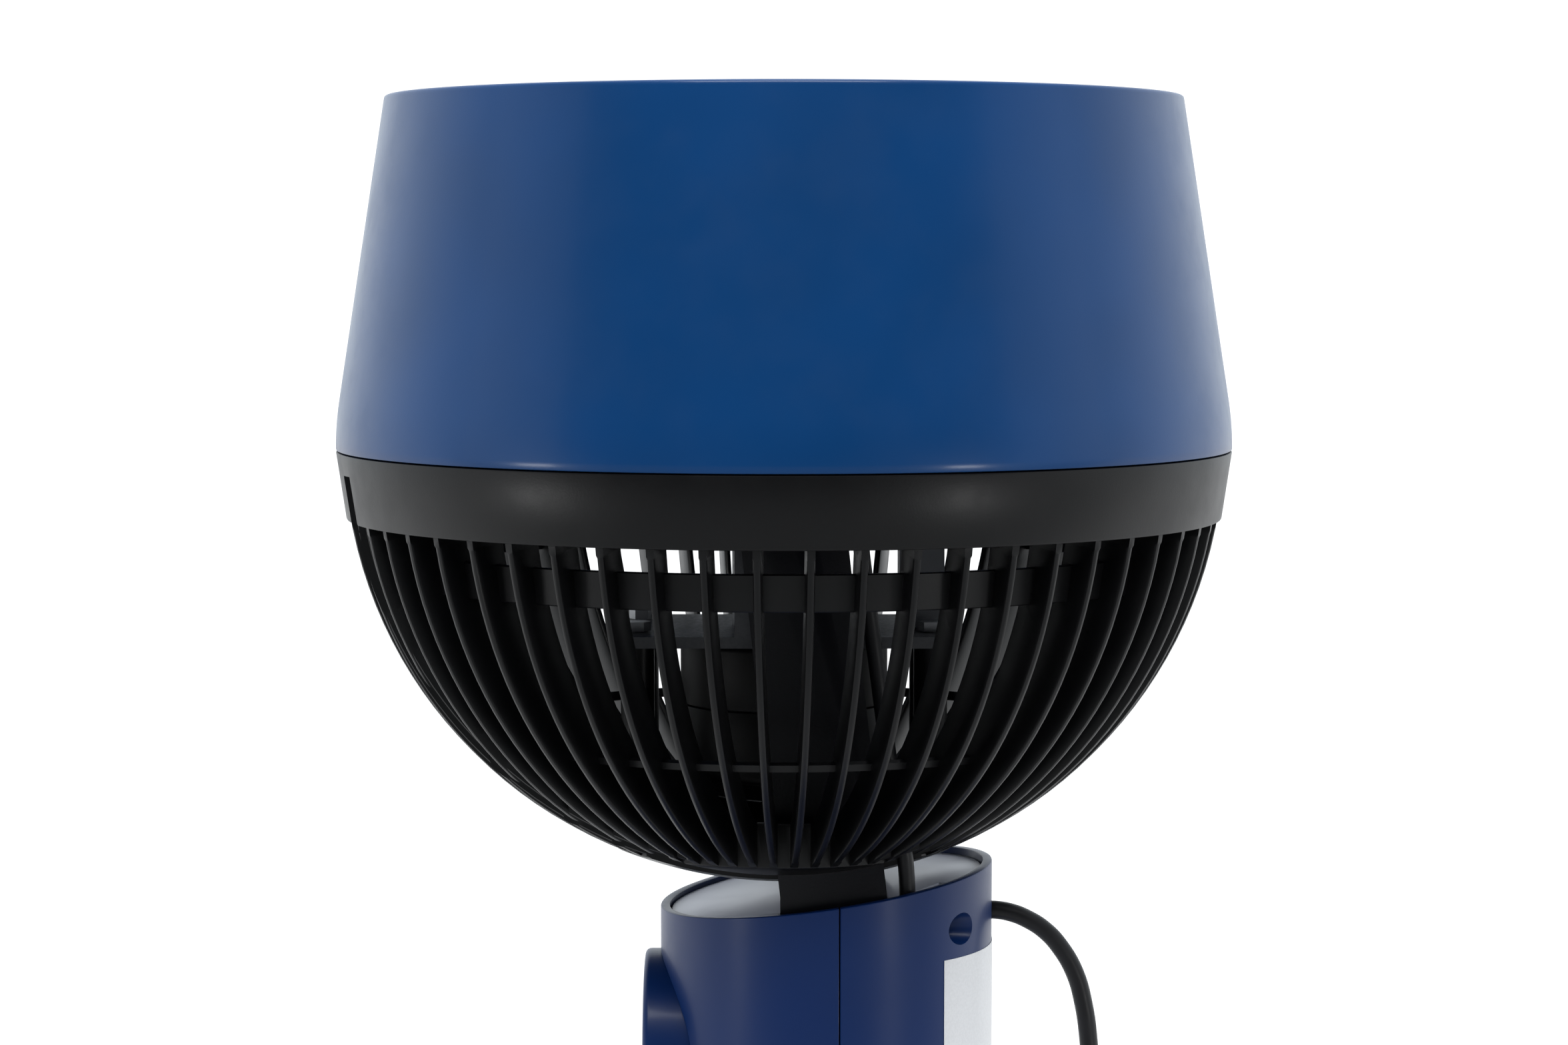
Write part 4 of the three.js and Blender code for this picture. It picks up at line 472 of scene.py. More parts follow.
def arc_plate(outer, inner, start, end, thickness, steps):
    """A plate in the XZ plane between two radii, from one angle to another below +X."""
    start, end = math.radians(start), math.radians(end)
    bm = bmesh.new()
    ends = [bm.verts.new((r * math.cos(start), 0, -r * math.sin(start))) for r in (outer, inner)]
    bm.edges.new(ends)
    sweep(bm, (0, 1, 0), end - start, steps)
    made = bmesh.ops.extrude_face_region(bm, geom=bm.faces[:])
    moved = [v for v in made["geom"] if isinstance(v, bmesh.types.BMVert)]
    bmesh.ops.translate(bm, vec=(0, thickness, 0), verts=moved)
    return shift(outwards(bm), y=-thickness / 2)


# %% Make blocks, bars and walls, cut them and copy them


def block(x, y, z):
    """A cube stretched to three spans."""
    bm = bmesh.new()
    bmesh.ops.create_cube(bm, size=1)
    bmesh.ops.scale(bm, vec=(x[1] - x[0], y[1] - y[0], z[1] - z[0]), verts=bm.verts)
    return shift(bm, sum(x) / 2, sum(y) / 2, sum(z) / 2)


def rod(radius, low, high, sides=48, ends=True):
    """A round bar along Z, or only its round wall."""
    bm = bmesh.new()
    bmesh.ops.create_cone(
        bm, cap_ends=ends, segments=sides, radius1=radius, radius2=radius, depth=high - low
    )
    return shift(bm, z=(low + high) / 2)


def walled(bm, thickness, middle=None, grows=False):
    """Gives an open sheet its thickness. A round one grows away from its middle or to it."""
    outwards(bm)
    if middle:
        face = bm.faces[:][0]
        if grows == (face.normal.dot(face.calc_center_median() - Vector(middle)) > 0):
            bmesh.ops.reverse_faces(bm, faces=bm.faces)
    bmesh.ops.solidify(bm, geom=bm.faces[:], thickness=thickness)
    return outwards(bm)


def cut_at(bm, place, normal, clear=True):
    """Cuts along a plane, clears what is beyond it, and gives the edges of the cut."""
    cut = bmesh.ops.bisect_plane(
        bm, geom=bm.verts[:] + bm.edges[:] + bm.faces[:], dist=CLOSE,
        plane_co=place, plane_no=normal, clear_outer=clear,
    )
    return [e for e in cut["geom_cut"] if isinstance(e, bmesh.types.BMEdge)]


def repeat(bm, count, start=0.0):
    """Copies of what is there, spread evenly round Z."""
    first = bm.verts[:] + bm.edges[:] + bm.faces[:]
    for i in range(1, count):
        copy = bmesh.ops.duplicate(bm, geom=first)
        verts = [v for v in copy["geom"] if isinstance(v, bmesh.types.BMVert)]
        matrix = Matrix.Rotation(2 * math.pi * i / count, 3, "Z")
        bmesh.ops.rotate(bm, matrix=matrix, verts=verts)
    return turn(bm, start, "Z")


print("a rib's pitch at the band:", round(2 * math.pi * BALL_RADIUS / RIB_COUNT, 2), "mm")

# %% [markdown]
# ## From a shape to a piece
# A piece is an object whose mesh sits where it belongs, in metres. Its faces are shaded
# smooth, and only the edges that turn sharply are marked sharp. Where one shape is let into
# another, a Boolean modifier joins or cuts them, and its result is kept as the mesh.

# %% Make pieces, and join or cut shapes
SHARP_ANGLE = math.radians(32)


def mesh_object(name, bm):
    mesh = bpy.data.meshes.new(name)
    bm.to_mesh(mesh)
    bm.free()
    return placed(name, mesh)


def joining(*shapes):
    return [("UNION", shape) for shape in shapes]


def cutting(*shapes):
    return [("DIFFERENCE", shape) for shape in shapes]


def carved(base, steps):
    """The base shape with others joined to it or cut from it, as a new bmesh."""
    body = mesh_object("carved_base", base)
    tools = []
    for operation, tool in steps:
        tools.append(mesh_object("carving_tool", tool))
        modifier = body.modifiers.new(operation, "BOOLEAN")
        modifier.operation, modifier.object, modifier.solver = operation, tools[-1], "MANIFOLD"
    bpy.context.view_layer.update()
    result = body.evaluated_get(bpy.context.evaluated_depsgraph_get())
    bm = bmesh.new()
    bm.from_mesh(result.to_mesh())
    result.to_mesh_clear()
    for used in [body] + tools:
        old = used.data
        bpy.data.objects.remove(used)
        bpy.data.meshes.remove(old)
    bmesh.ops.remove_doubles(bm, verts=bm.verts, dist=CLOSE)
    return bm


def piece(name, bm, look, body, slot, *nodes):
    """Turns a shape in millimetres into a finished piece that rides on a body."""
    shift(bm, z=PIVOT_Z if body in ("head", "impeller") else 0)
    bmesh.ops.scale(bm, vec=(MM, MM, MM), verts=bm.verts)
    for face in bm.faces:
        face.smooth = True
    for edge in bm.edges:
        if len(edge.link_faces) == 2 and edge.calc_face_angle(0) > SHARP_ANGLE:
            edge.smooth = False
    made = mesh_object(name, bm)
    made.data.materials.append(look)
    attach(made, body)
    if nodes:
        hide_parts(*nodes)
    print(f"{name}: {len(made.data.polygons)} faces")
    return made


# %% [markdown]
# ## The outlet shroud
# The blue cone is one moulding with a wall of even thickness: a round lip at the open rim, a
# straight cone, and a short upright skirt at the seam. It is turned from one profile, since
# a lathe profile keeps wall, lip and ledge in one line. Its faces are many, because a large
# plain cone shows every flat.

# %% Spin the shroud
SKIRT_TOP, SKIRT_FOOT = 5, -1.5
SHROUD_INNER = SEAM_RADIUS - SHROUD_WALL
CONE_SLOPE = (SEAM_RADIUS - RIM_RADIUS) / (RIM_Z - SKIRT_TOP)


def shroud_radius(z):
    return RIM_RADIUS + CONE_SLOPE * (RIM_Z - z)


def bent(*controls, count=6):
    """Points on the curve from the first control point to the last, pulled by the others."""
    route = []
    for i in range(count + 1):
        points = controls
        while len(points) > 1:
            pairs = zip(points, points[1:])
            points = [tuple(p + (q - p) * i / count for p, q in zip(a, b)) for a, b in pairs]
        route.append(points[0])
    return route


GRILLE_TOP, GRILLE_BOTTOM = 85.2, 79.2
ledge_top = GRILLE_BOTTOM - 0.3
ledge_foot = ledge_top - 6
ledge_inner = shroud_radius(ledge_top) - SHROUD_WALL
lip = [(0, 1.2), (0, 0), (1.2, 0), (2.4, 0), (2.4, 1.2)]
lip = [(RIM_RADIUS - inwards, RIM_Z - down) for inwards, down in lip]
shroud_profile = bent(
    (SEAM_RADIUS, SKIRT_FOOT), (SEAM_RADIUS, SKIRT_TOP), (shroud_radius(11.5), 11.5)
)
shroud_profile += bent(*lip[:3], count=4) + bent(*lip[2:], count=4)[1:]
shroud_profile += [
    (ledge_inner, ledge_top), (ledge_inner - 3, ledge_top),
    (shroud_radius(ledge_foot) - SHROUD_WALL, ledge_foot),
    (SHROUD_INNER, SKIRT_TOP), (SHROUD_INNER, SKIRT_FOOT),
]
shroud_bm = soften(spun(shroud_profile, 224), 0.35, where=lambda e: e.verts[0].co.z < 0)
piece("shroud_cone", shroud_bm, SHROUD_BLUE, "head", "shroud_plastic", "outlet_shroud")

# %% [markdown]
# ## The rear grille's round parts
# The black ball is one moulding too. Its round parts are a smooth band with a collar inside
# the shroud, a wide flat ring and a narrow one that tie the ribs together, and the closed
# cap at the pole. Each is a profile of its own.

# %% Spin the band, the rings and the cap
COLLAR_RADIUS, COLLAR_INNER, COLLAR_TOP = 117.0, 113.8, 4
BAND_SHELF = BAND_BOTTOM + 4
RING_INSET = 5.5
WIDE_TOP, WIDE_FOOT, NARROW_MIDDLE = -26.4, -35.8, -77.2


def ball_radius(z, inset=0.0):
    return math.sqrt((BALL_RADIUS - inset) ** 2 - z * z)


low_outer = ball_radius(BAND_BOTTOM) + 1
low_inner = ball_radius(BAND_BOTTOM, RIB_DEPTH) - 1
band_shape = spun([
    (low_inner, BAND_BOTTOM), (low_outer, BAND_BOTTOM), (SEAM_RADIUS, BAND_TOP),
    (COLLAR_RADIUS, BAND_TOP), (COLLAR_RADIUS, COLLAR_TOP), (COLLAR_INNER, COLLAR_TOP),
    (COLLAR_INNER, BAND_SHELF), (low_inner, BAND_SHELF),
], 224)
soften(band_shape, 0.45)

wide_outer = ball_radius(WIDE_FOOT, RING_INSET)
wide_ring = spun([
    (wide_outer - 2, WIDE_FOOT), (wide_outer, WIDE_FOOT),
    (wide_outer + 1.6, WIDE_TOP), (wide_outer - 0.4, WIDE_TOP),
], 168)
soften(wide_ring, 0.3, 1)

narrow_outer = ball_radius(NARROW_MIDDLE, RING_INSET)
narrow_ring = spun([
    (narrow_outer, NARROW_MIDDLE - 1), (narrow_outer + 0.8, NARROW_MIDDLE + 0.8),
    (narrow_outer - 1.5, NARROW_MIDDLE + 1.3), (narrow_outer - 2, NARROW_MIDDLE - 1.3),
], 168)

cap_edge = math.acos(CAP_RADIUS / BALL_RADIUS)
cap_curve = [(0, -BALL_RADIUS - 0.2)]
for i in range(1, 17):
    a = math.pi / 2 + (cap_edge - math.pi / 2) * i / 16
    cap_curve += [(BALL_RADIUS * math.cos(a), -BALL_RADIUS * math.sin(a) - 0.2)]
cap_rim = -ball_radius(CAP_RADIUS) + RIB_DEPTH + 1
pole_cap = spun(cap_curve + [
    (CAP_RADIUS, cap_rim), (CAP_RADIUS - 2, cap_rim), (CAP_RADIUS - 2, cap_rim - RIB_DEPTH),
    (0, -BALL_RADIUS + 3),
], 168)
soften(pole_cap, 0.4)
print("band", round(low_outer, 1), "mm; wide ring", round(wide_outer, 1), "mm")

# %% [markdown]
# ## The ribs, the rails and the slots
# Fifty-six thin ribs follow the ball's meridians from the band to the cap. One rib is a flat
# arc with a thickness and rounded edges, cut level at the band and upright at the cap. The
# others are copies, turned round the axis. Two slots for the fork's prongs cross them, each
# between two rails. The rails are arcs in planes beside the slots.

# %% Lay the ribs and cut the slots
RIB_END_X, RIB_TOP = 46, -18
SLOT_FRONT, SLOT_REAR, RAIL = 86.3, 20.0, 2.0
BOSS_X, BOSS_Y, BOSS_RADIUS, BOSS_TOP = 16, 39, 4.5, -53.3


def one_rib():
    rib = arc_plate(BALL_RADIUS, BALL_RADIUS - RIB_DEPTH, 6, 72, RIB_THICKNESS, 26)
    for place, normal in [((RIB_END_X, 0, 0), (-1, 0, 0)), ((0, 0, RIB_TOP), (0, 0, 1))]:
        bmesh.ops.edgeloop_fill(rib, edges=cut_at(rib, place, normal))

    def is_long(edge):
        a, b = (v.co for v in edge.verts)
        between = min(a.x, b.x) > RIB_END_X + 1 and max(a.z, b.z) < RIB_TOP - 0.5
        return between and abs(a.y - b.y) < 0.1

    return soften(outwards(rib), 0.75, 2, 57.3, is_long)


def in_slot_plane(outer, inner, front, rear, span, steps=48):
    """An arc plate in the YZ plane, between angles from straight down, over a span of X."""
    plate = arc_plate(outer, inner, 90 - front, 90 + rear, span[1] - span[0], steps)
    return shift(turn(plate, -90, "Z"), x=sum(span) / 2)


def on_side(side, near, far):
    """A span of X on the right side (1) or the left side (-1), its ends in rising order."""
    return sorted((side * near, side * far))


rail_end = math.degrees(RAIL / BALL_RADIUS)
slot_outer = ball_radius(SLOT_OUTER)
steps = joining(wide_ring, narrow_ring, pole_cap)
for side in (1, -1):
    for x in (SLOT_INNER - RAIL, SLOT_OUTER):
        outer, span = ball_radius(x + RAIL) - 0.4, on_side(side, x, x + RAIL)
        ends = SLOT_FRONT + rail_end, SLOT_REAR + rail_end
        rail = in_slot_plane(outer, outer - RIB_DEPTH, *ends, span)
        steps += joining(soften(rail, 0.3, 1))
    outer, span = slot_outer - 1, on_side(side, SLOT_INNER - 1, SLOT_OUTER + 1)
    ends = -SLOT_REAR, SLOT_REAR + rail_end
    steps += joining(in_slot_plane(outer, outer - RIB_DEPTH, *ends, span, 2))
steps += joining(band_shape)
for side in (1, -1):
    inner, span = slot_outer - 1.7 * RIB_DEPTH, on_side(side, SLOT_INNER, SLOT_OUTER)
    steps += cutting(in_slot_plane(125, inner, SLOT_FRONT, SLOT_REAR, span, 40))
for x in (BOSS_X, -BOSS_X):
    for y in (BOSS_Y, -BOSS_Y):
        foot = -ball_radius(math.hypot(x, y), 1.5)
        steps += joining(shift(rod(BOSS_RADIUS, foot, BOSS_TOP, 32), x=x, y=y))
grille_bm = carved(repeat(one_rib(), RIB_COUNT, 180 / RIB_COUNT), steps)
piece("ball_grille", grille_bm, GRILLE_BLACK, "head", "grille_plastic", "rear_grille")

# %% [markdown]
# ## The front grille
# Under the rim lies a round grille: a dished hub, a thin ring and a whirl of curved vanes
# that straighten the air. A vane is a narrow grid bent along a spiral and given a thickness.

# %% Bend the vanes round the hub
VANE_COUNT, VANE_SWEEP, VANE_HEIGHT, VANE_THICKNESS = 26, 4, 5, 1.8
HUB_RADIUS, HUB_FLOOR, BADGE_RADIUS = 24.0, GRILLE_BOTTOM + 3.5, 21.3
grille_outer = shroud_radius(GRILLE_TOP) - SHROUD_WALL - 0.3


def one_vane():
    vane = bmesh.new()
    bmesh.ops.create_grid(vane, x_segments=14, y_segments=1, size=0.5)
    inner, outer = HUB_RADIUS - 1, grille_outer - 1.2
    for v in vane.verts:
        share = v.co.x + 0.5
        radius = inner + (outer - inner) * share
        angle = VANE_SWEEP * 2 * math.pi / VANE_COUNT * share
        height = GRILLE_BOTTOM + 0.5 + VANE_HEIGHT * (v.co.y + 0.5)
        v.co = (radius * math.cos(angle), radius * math.sin(angle), height)
    return soften(walled(vane, VANE_THICKNESS), 0.5, 2, 60)


front_hub = spun([
    (0, GRILLE_BOTTOM), (HUB_RADIUS, GRILLE_BOTTOM), (HUB_RADIUS, GRILLE_TOP),
    (HUB_RADIUS - 2, GRILLE_TOP), (HUB_RADIUS - 2, HUB_FLOOR), (0, HUB_FLOOR),
], 128)
front_rim = spun([
    (grille_outer - 2.5, GRILLE_BOTTOM), (grille_outer, GRILLE_BOTTOM),
    (grille_outer, GRILLE_TOP), (grille_outer - 2.5, GRILLE_TOP),
], 192)
front_steps = joining(soften(front_hub, 0.5), soften(front_rim, 0.5))
front_bm = carved(repeat(one_vane(), VANE_COUNT), front_steps)
piece("front_vanes", front_bm, GRILLE_BLACK, "head", "grille_plastic", "front_grille")

badge_low = HUB_FLOOR + 0.3
badge_bm = spun([
    (0, badge_low), (BADGE_RADIUS, badge_low), (BADGE_RADIUS, badge_low + 1.3),
    (17.6, badge_low + 2), (10, badge_low + 2.3), (0, badge_low + 2.4),
], 128)
soften(badge_bm, 0.3, 2, 20)
piece("hub_badge", badge_bm, BADGE_SILVER, "head", "silver_plastic", "grille_badge")

# %% [markdown]
# ## The impeller
# Five broad twisted blades on a cup hub push the air. A blade starts as a flat grid, whose
# points are laid on the twisted surface that the frame's own blade follows. Then it gets
# its thickness and rounded edges.

# %% Twist the blades
IMPELLER_LOW, IMPELLER_TOP, BLADE_COUNT, BLADE_THICKNESS = 19.0, 58.0, 5, 1.8
BLADE_ROOT, BLADE_TIP = 22.9, shroud_radius(IMPELLER_TOP) - SHROUD_WALL - 7
CUP_RADIUS, CUP_ROOF, AXLE_RADIUS, AXLE_HOLE = 24, 55.8, 8, 4.3


def blade_point(along, round_share):
    radius = BLADE_ROOT + along * (BLADE_TIP - BLADE_ROOT)
    wrap = math.radians(58 - 6 * along + 14 * along * (1 - along))
    lean = math.radians(16) * along * along
    rise = 33 * (1 - 0.42 * along)
    camber = 3 * (1 - 4 * round_share ** 2)
    angle = round_share * wrap + lean
    height = IMPELLER_LOW + 19.5 + round_share * rise + camber
    return (radius * math.cos(angle), radius * math.sin(angle), height)


def one_blade():
    blade = bmesh.new()
    bmesh.ops.create_grid(blade, x_segments=16, y_segments=20, size=0.5)
    for v in blade.verts:
        v.co = blade_point(v.co.x + 0.5, v.co.y)
    shift(blade, z=-BLADE_THICKNESS / 2)
    return soften(walled(blade, BLADE_THICKNESS), 0.7, 2, 60)


impeller_hub = [(AXLE_HOLE, IMPELLER_LOW), (AXLE_RADIUS, IMPELLER_LOW), (AXLE_RADIUS, CUP_ROOF)]
impeller_hub += [(19.8, CUP_ROOF), (21.8, IMPELLER_LOW), (CUP_RADIUS, IMPELLER_LOW)]
impeller_hub += bent((CUP_RADIUS, 54), (CUP_RADIUS, IMPELLER_TOP), (20, IMPELLER_TOP))
impeller_hub += [(AXLE_HOLE, IMPELLER_TOP)]
impeller_bm = carved(spun(impeller_hub, 128), joining(repeat(one_blade(), BLADE_COUNT)))
piece("impeller_blades", impeller_bm, GRILLE_BLACK, "impeller", "grille_plastic", "impeller")

spinner_bm = spun([
    (4.3, 58.3), (9, 58.3), (9, 62.3), (8.2, 64), (6.6, 65.1), (4, 66), (0, 66.3), (0, 63.1),
    (4.3, 63.1),
], 64)
soften(spinner_bm, 0.3)
piece("spinner", spinner_bm, GRILLE_BLACK, "impeller", "grille_plastic", "spinner_nut")

# %% [markdown]
# ## The motor's shells
# Behind the ribs sits the motor: two pressed cups with rounded shoulders. They are dark and
# half hidden, but their round outline shows between the ribs.

# %% Spin the motor's shells
MOTOR_TOP, MOTOR_SPLIT, MOTOR_BOTTOM, MOTOR_RADIUS, MOTOR_WALL = -53.3, -70.3, -90.3, 28.0, 2.0
SOCKET_INNER, SOCKET_OUTER, SOCKET_TOP = 9.5, 11.5, -81.1
cup_inner, cup_floor = MOTOR_RADIUS - MOTOR_WALL, MOTOR_BOTTOM + MOTOR_WALL
front_shell = spun([
    (SOCKET_INNER, MOTOR_TOP), (MOTOR_RADIUS - 1, MOTOR_TOP), (MOTOR_RADIUS, MOTOR_TOP - 1),
    (MOTOR_RADIUS, MOTOR_SPLIT), (cup_inner, MOTOR_SPLIT), (cup_inner, MOTOR_TOP - MOTOR_WALL),
    (SOCKET_INNER, MOTOR_TOP - MOTOR_WALL),
], 96)
shoulder = [(24, MOTOR_BOTTOM), (MOTOR_RADIUS, MOTOR_BOTTOM), (MOTOR_RADIUS, MOTOR_BOTTOM + 4)]
rear_shell = spun([(0, MOTOR_BOTTOM)] + bent(*shoulder, count=5) + [
    (MOTOR_RADIUS, MOTOR_SPLIT - 0.3), (cup_inner, MOTOR_SPLIT - 0.3), (cup_inner, cup_floor + 3),
    (SOCKET_OUTER, cup_floor), (SOCKET_OUTER, SOCKET_TOP), (SOCKET_INNER, SOCKET_TOP),
    (SOCKET_INNER, cup_floor), (0, cup_floor),
], 96)
for name, shell, edge in [("front", front_shell, 0.5), ("rear", rear_shell, 0.4)]:
    soften(shell, edge)
    piece(f"motor_cup_{name}", shell, MOTOR_BLACK, "head", "motor_steel", f"motor_{name}_shell")

# %% [markdown]
# ## The column
# The column is a round tube moulded in two halves that meet in a fine line on each side. Its
# rim is slanted, higher at the rear, to follow the ball. The wall begins as the outer skin
# of a tube, which two planes cut to the slant and to one half, and gets its thickness
# inwards. The openings are cut after that: the dial's bore in front, the screws' wells and
# the cord's outlet at the rear.

# %% Cut a half, and say how it is carved and shaded
COLUMN_SEAM_Y, SEAM_HALF_GAP = 14.5, 0.15
COLUMN_BORE = COLUMN_RADIUS - COLUMN_WALL
RIM_PLANE = 120.2
WELL_RADIUS, WELL_BORE, SCREW_HOLE, OUTLET_RADIUS = 5.45, 4.25, 1.8, 4.5
DIAL_BORE, NECK_BORE = 27.0, 5.0


def along_y(bm, x, z):
    """A shape made along +Z, laid along +Y at x and z."""
    return shift(turn(bm, -90, "X"), x=x, z=z)


def column_half(side):
    half = rod(COLUMN_RADIUS, COLUMN_FOOT, COLUMN_FOOT + COLUMN_HEIGHT, 240, ends=False)
    shift(half, y=COLUMN_Y)
    cut_at(half, (0, 0, slanted_height(RIM_PLANE, 0)), SLANT_UP)
    cut_at(half, (0, COLUMN_SEAM_Y + SEAM_HALF_GAP * side, 0), (0, -side, 0))
    return soften(walled(half, COLUMN_WALL, (0, COLUMN_Y, 90)), 0.35, 2, 60)


def screw_well(x, z, start):
    """The tube in the rear half that a screw's head sits in, cut off by the outer wall."""
    inside = shift(rod(COLUMN_RADIUS - 0.4, 20, 190, 240), y=COLUMN_Y)
    return carved(along_y(rod(WELL_RADIUS, start, 56), x, z), [("INTERSECT", inside)])


def rims_hole(edge, holes):
    """Whether an edge lies on the column's outer wall and round one of some holes."""
    def near(radius, *spans):
        return all(abs(math.hypot(*span) - radius) < 0.05 for span in spans)
    a, b = (v.co - Vector((0, COLUMN_Y, 0)) for v in edge.verts)
    return near(COLUMN_RADIUS, a.xy, b.xy) and any(
        near(radius, (a.x - x, a.z - z), (b.x - x, b.z - z)) for x, z, radius in holes
    )


def wall_shading(made):
    """Shades the round wall as if it had no holes, whose long faces would bend its light."""
    mesh = made.data
    normals = [corner.vector.copy() for corner in mesh.corner_normals]
    for face in mesh.polygons:
        for i in face.loop_indices:
            away = mesh.vertices[mesh.loops[i].vertex_index].co - Vector((0, COLUMN_Y * MM, 0))
            away.z = 0
            on_wall = abs(away.length - COLUMN_RADIUS * MM) < 0.03 * MM
            if on_wall and face.normal.dot(away.normalized()) > 0.9:
                normals[i] = away.normalized()
    mesh.normals_split_custom_set(normals)


def column_shell(name, side, steps, width, holes):
    """One half, carved, with the rims of its holes rounded, as a piece."""
    half = carved(column_half(side), steps)
    soften(half, width, 2, 25, lambda edge: rims_hole(edge, holes))
    node = f"column_{name}_shell"
    wall_shading(piece(f"column_{name}", half, COLUMN_BLUE, "stand", "column_plastic", node))


# %% Carve the column's halves
wells = [
    (side * SCREW_X, z, start)
    for side in (1, -1)
    for z, start in [(SCREW_Z, 37.0), (LOWER_SCREW_Z, 25.3)]
]
rear_steps = joining(*[screw_well(*well) for well in wells])
rear_steps += cutting(*[along_y(rod(WELL_BORE, 40, 60), x, z) for x, z, start in wells])
rear_steps += cutting(*[
    along_y(rod(SCREW_HOLE, start - 1, 41, 24), x, z) for x, z, start in wells
])
rear_steps += cutting(along_y(rod(OUTLET_RADIUS, 44, 60), 0, SCREW_Z))
rear_holes = [(x, z, WELL_BORE) for x, z, start in wells] + [(0, SCREW_Z, OUTLET_RADIUS)]
column_shell("rear", 1, rear_steps, 0.45, rear_holes)

bridge = block((-8, 8), (-14, -11.7), (DIAL_Z - 33.2, DIAL_Z + 33.2))
legs = [
    block((-8, 8), (-31.9, -11.7), (z - 2.5, z + 2.5)) for z in (DIAL_Z + 30.7, DIAL_Z - 30.7)
]
front_steps = joining(*legs, bridge)
bores = rod(DIAL_BORE, -40, -16, 160), rod(NECK_BORE, -17, -10, 32)
front_steps += cutting(*[along_y(bore, 0, DIAL_Z) for bore in bores])
column_shell("front", -1, front_steps, 0.5, [(0, DIAL_Z, DIAL_BORE)])

# %% [markdown]
# ## The column's screws
# Four screws with rounded heads hold the halves together, deep in their wells. A head is
# spun from a profile, and a cross is cut into it. Each stands at a turn of its own, as
# screws do.

# %% Turn the screws and cut their crosses
SCREW_SEAT, SCREW_TOP, SCREW_HEAD, SCREW_SHANK = 40.3, 42.8, 3.5, 1.5
CROSS_REACH, CROSS_HALF_WIDTH, CROSS_DEPTH = 1.9, 0.45, 1.3


def cross_screw(tip, turned):
    """A screw along Z with its tip at a height, its head on the seat, and a turned cross."""
    dome = [(SCREW_HEAD, SCREW_SEAT + 0.9), (SCREW_HEAD - 0.2, SCREW_TOP - 0.2)]
    dome += [(1.4, SCREW_TOP - 0.05)]
    profile = [(0, tip), (0.8, tip), (SCREW_SHANK, tip + 1.2), (SCREW_SHANK, SCREW_SEAT)]
    profile += [(SCREW_HEAD, SCREW_SEAT)] + bent(*dome) + [(0, SCREW_TOP)]
    arms = []
    for x, y in [(CROSS_REACH, CROSS_HALF_WIDTH), (CROSS_HALF_WIDTH, CROSS_REACH)]:
        arm = block((-x, x), (-y, y), (SCREW_TOP - CROSS_DEPTH, SCREW_TOP + 1))
        arms += cutting(turn(arm, turned, "Z"))
    return soften(carved(spun(profile, 64), arms), 0.12, 1, 50)


for level, z, tip in [("upper", SCREW_Z, 29.3), ("lower", LOWER_SCREW_Z, 12.3)]:
    for name, side in SIDES:
        screw_bm = along_y(cross_screw(tip, 17 * z * side), side * SCREW_X, z)
        node_name = f"column_screw_{level}_{name}"
        piece(f"screw_{level}_{name}", screw_bm, ZINC_STEEL, "stand", "screw_steel", node_name)

# %% [markdown]
# ## The column's cap
# A silver plate closes the column under the ball, a little below the slanted rim, with a fine
# gap all round. The prongs come up through two notches, and the lead through a curved one.
# The plate is a disc of the tube's bore, cut by two slanted planes.

# %% Cut the cap
CAP_EDGE = COLUMN_BORE - 0.6
CAP_FACE, CAP_UNDERSIDE = 121.7, 123.7
cap_bm = shift(rod(CAP_EDGE, 120, 190, 192), y=COLUMN_Y)
for distance, normal in [(CAP_FACE, SLANT_UP), (CAP_UNDERSIDE, -SLANT_UP)]:
    place = (0, 0, slanted_height(distance, 0))
    bmesh.ops.edgeloop_fill(cap_bm, edges=cut_at(cap_bm, place, normal))
outwards(cap_bm)
notches = [block(on_side(side, 31.0, 60), (-1.5, 27.5), (100, 220)) for side in (1, -1)]
lead_notch = turn(arc_plate(CAP_EDGE + 1, CAP_EDGE - 6.6, -58, -15, 200, 20), -90, "X")
shift(lead_notch, y=COLUMN_Y, z=170)
lead_notch = carved(lead_notch, cutting(block((0, 80), (-40, 29.7), (0, 300))))
cap_bm = carved(cap_bm, cutting(*notches, lead_notch))
soften(cap_bm, 0.35, 2, 40)
piece("cap_plate", cap_bm, SILVER_PLASTIC, "stand", "silver_plastic", "column_cap")

# %% [markdown]
# ## The speed dial
# The dial is a round cup in the column's front that turns on the switch's shaft. It stands a
# few millimetres proud with a rounded edge, and a short line on its face shows its setting.

# %% Spin the dial
DIAL_INNER, DIAL_HUB, DIAL_SOCKET = 24.4, 6, 3.3
LINE_HALF_WIDTH, LINE_START, LINE_END = 0.8, 13, 23
front, back = DIAL_FRONT_Y, DIAL_FRONT_Y + 19.8
dial_profile = [(0, front)]
dial_profile += bent((24.6, front), (DIAL_RADIUS, front), (DIAL_RADIUS, front + 1.8), count=5)
dial_profile += [
    (DIAL_RADIUS, back), (DIAL_INNER, back), (DIAL_INNER, front + 2), (DIAL_HUB, front + 2),
    (DIAL_HUB, back - 3), (DIAL_SOCKET, back - 3), (DIAL_SOCKET, front + 3), (0, front + 3),
]
groove = block((-LINE_HALF_WIDTH, LINE_HALF_WIDTH), (LINE_START, LINE_END), (-39, front + 0.6))
dial_bm = carved(spun(dial_profile, 160), cutting(groove))
along_y(soften(dial_bm, 0.25, 2, 50), 0, DIAL_Z)
piece("dial_cup", dial_bm, COLUMN_BLUE, "dial", "column_plastic", "speed_dial")

line_width, line_span = LINE_HALF_WIDTH - 0.05, (LINE_START + 0.1, LINE_END - 0.1)
line_bm = block((-line_width, line_width), line_span, (front + 0.25, front + 0.7))
along_y(soften(line_bm, 0.1, 1), 0, DIAL_Z)
piece("dial_line", line_bm, NYLON_WHITE, "dial", "column_plastic")

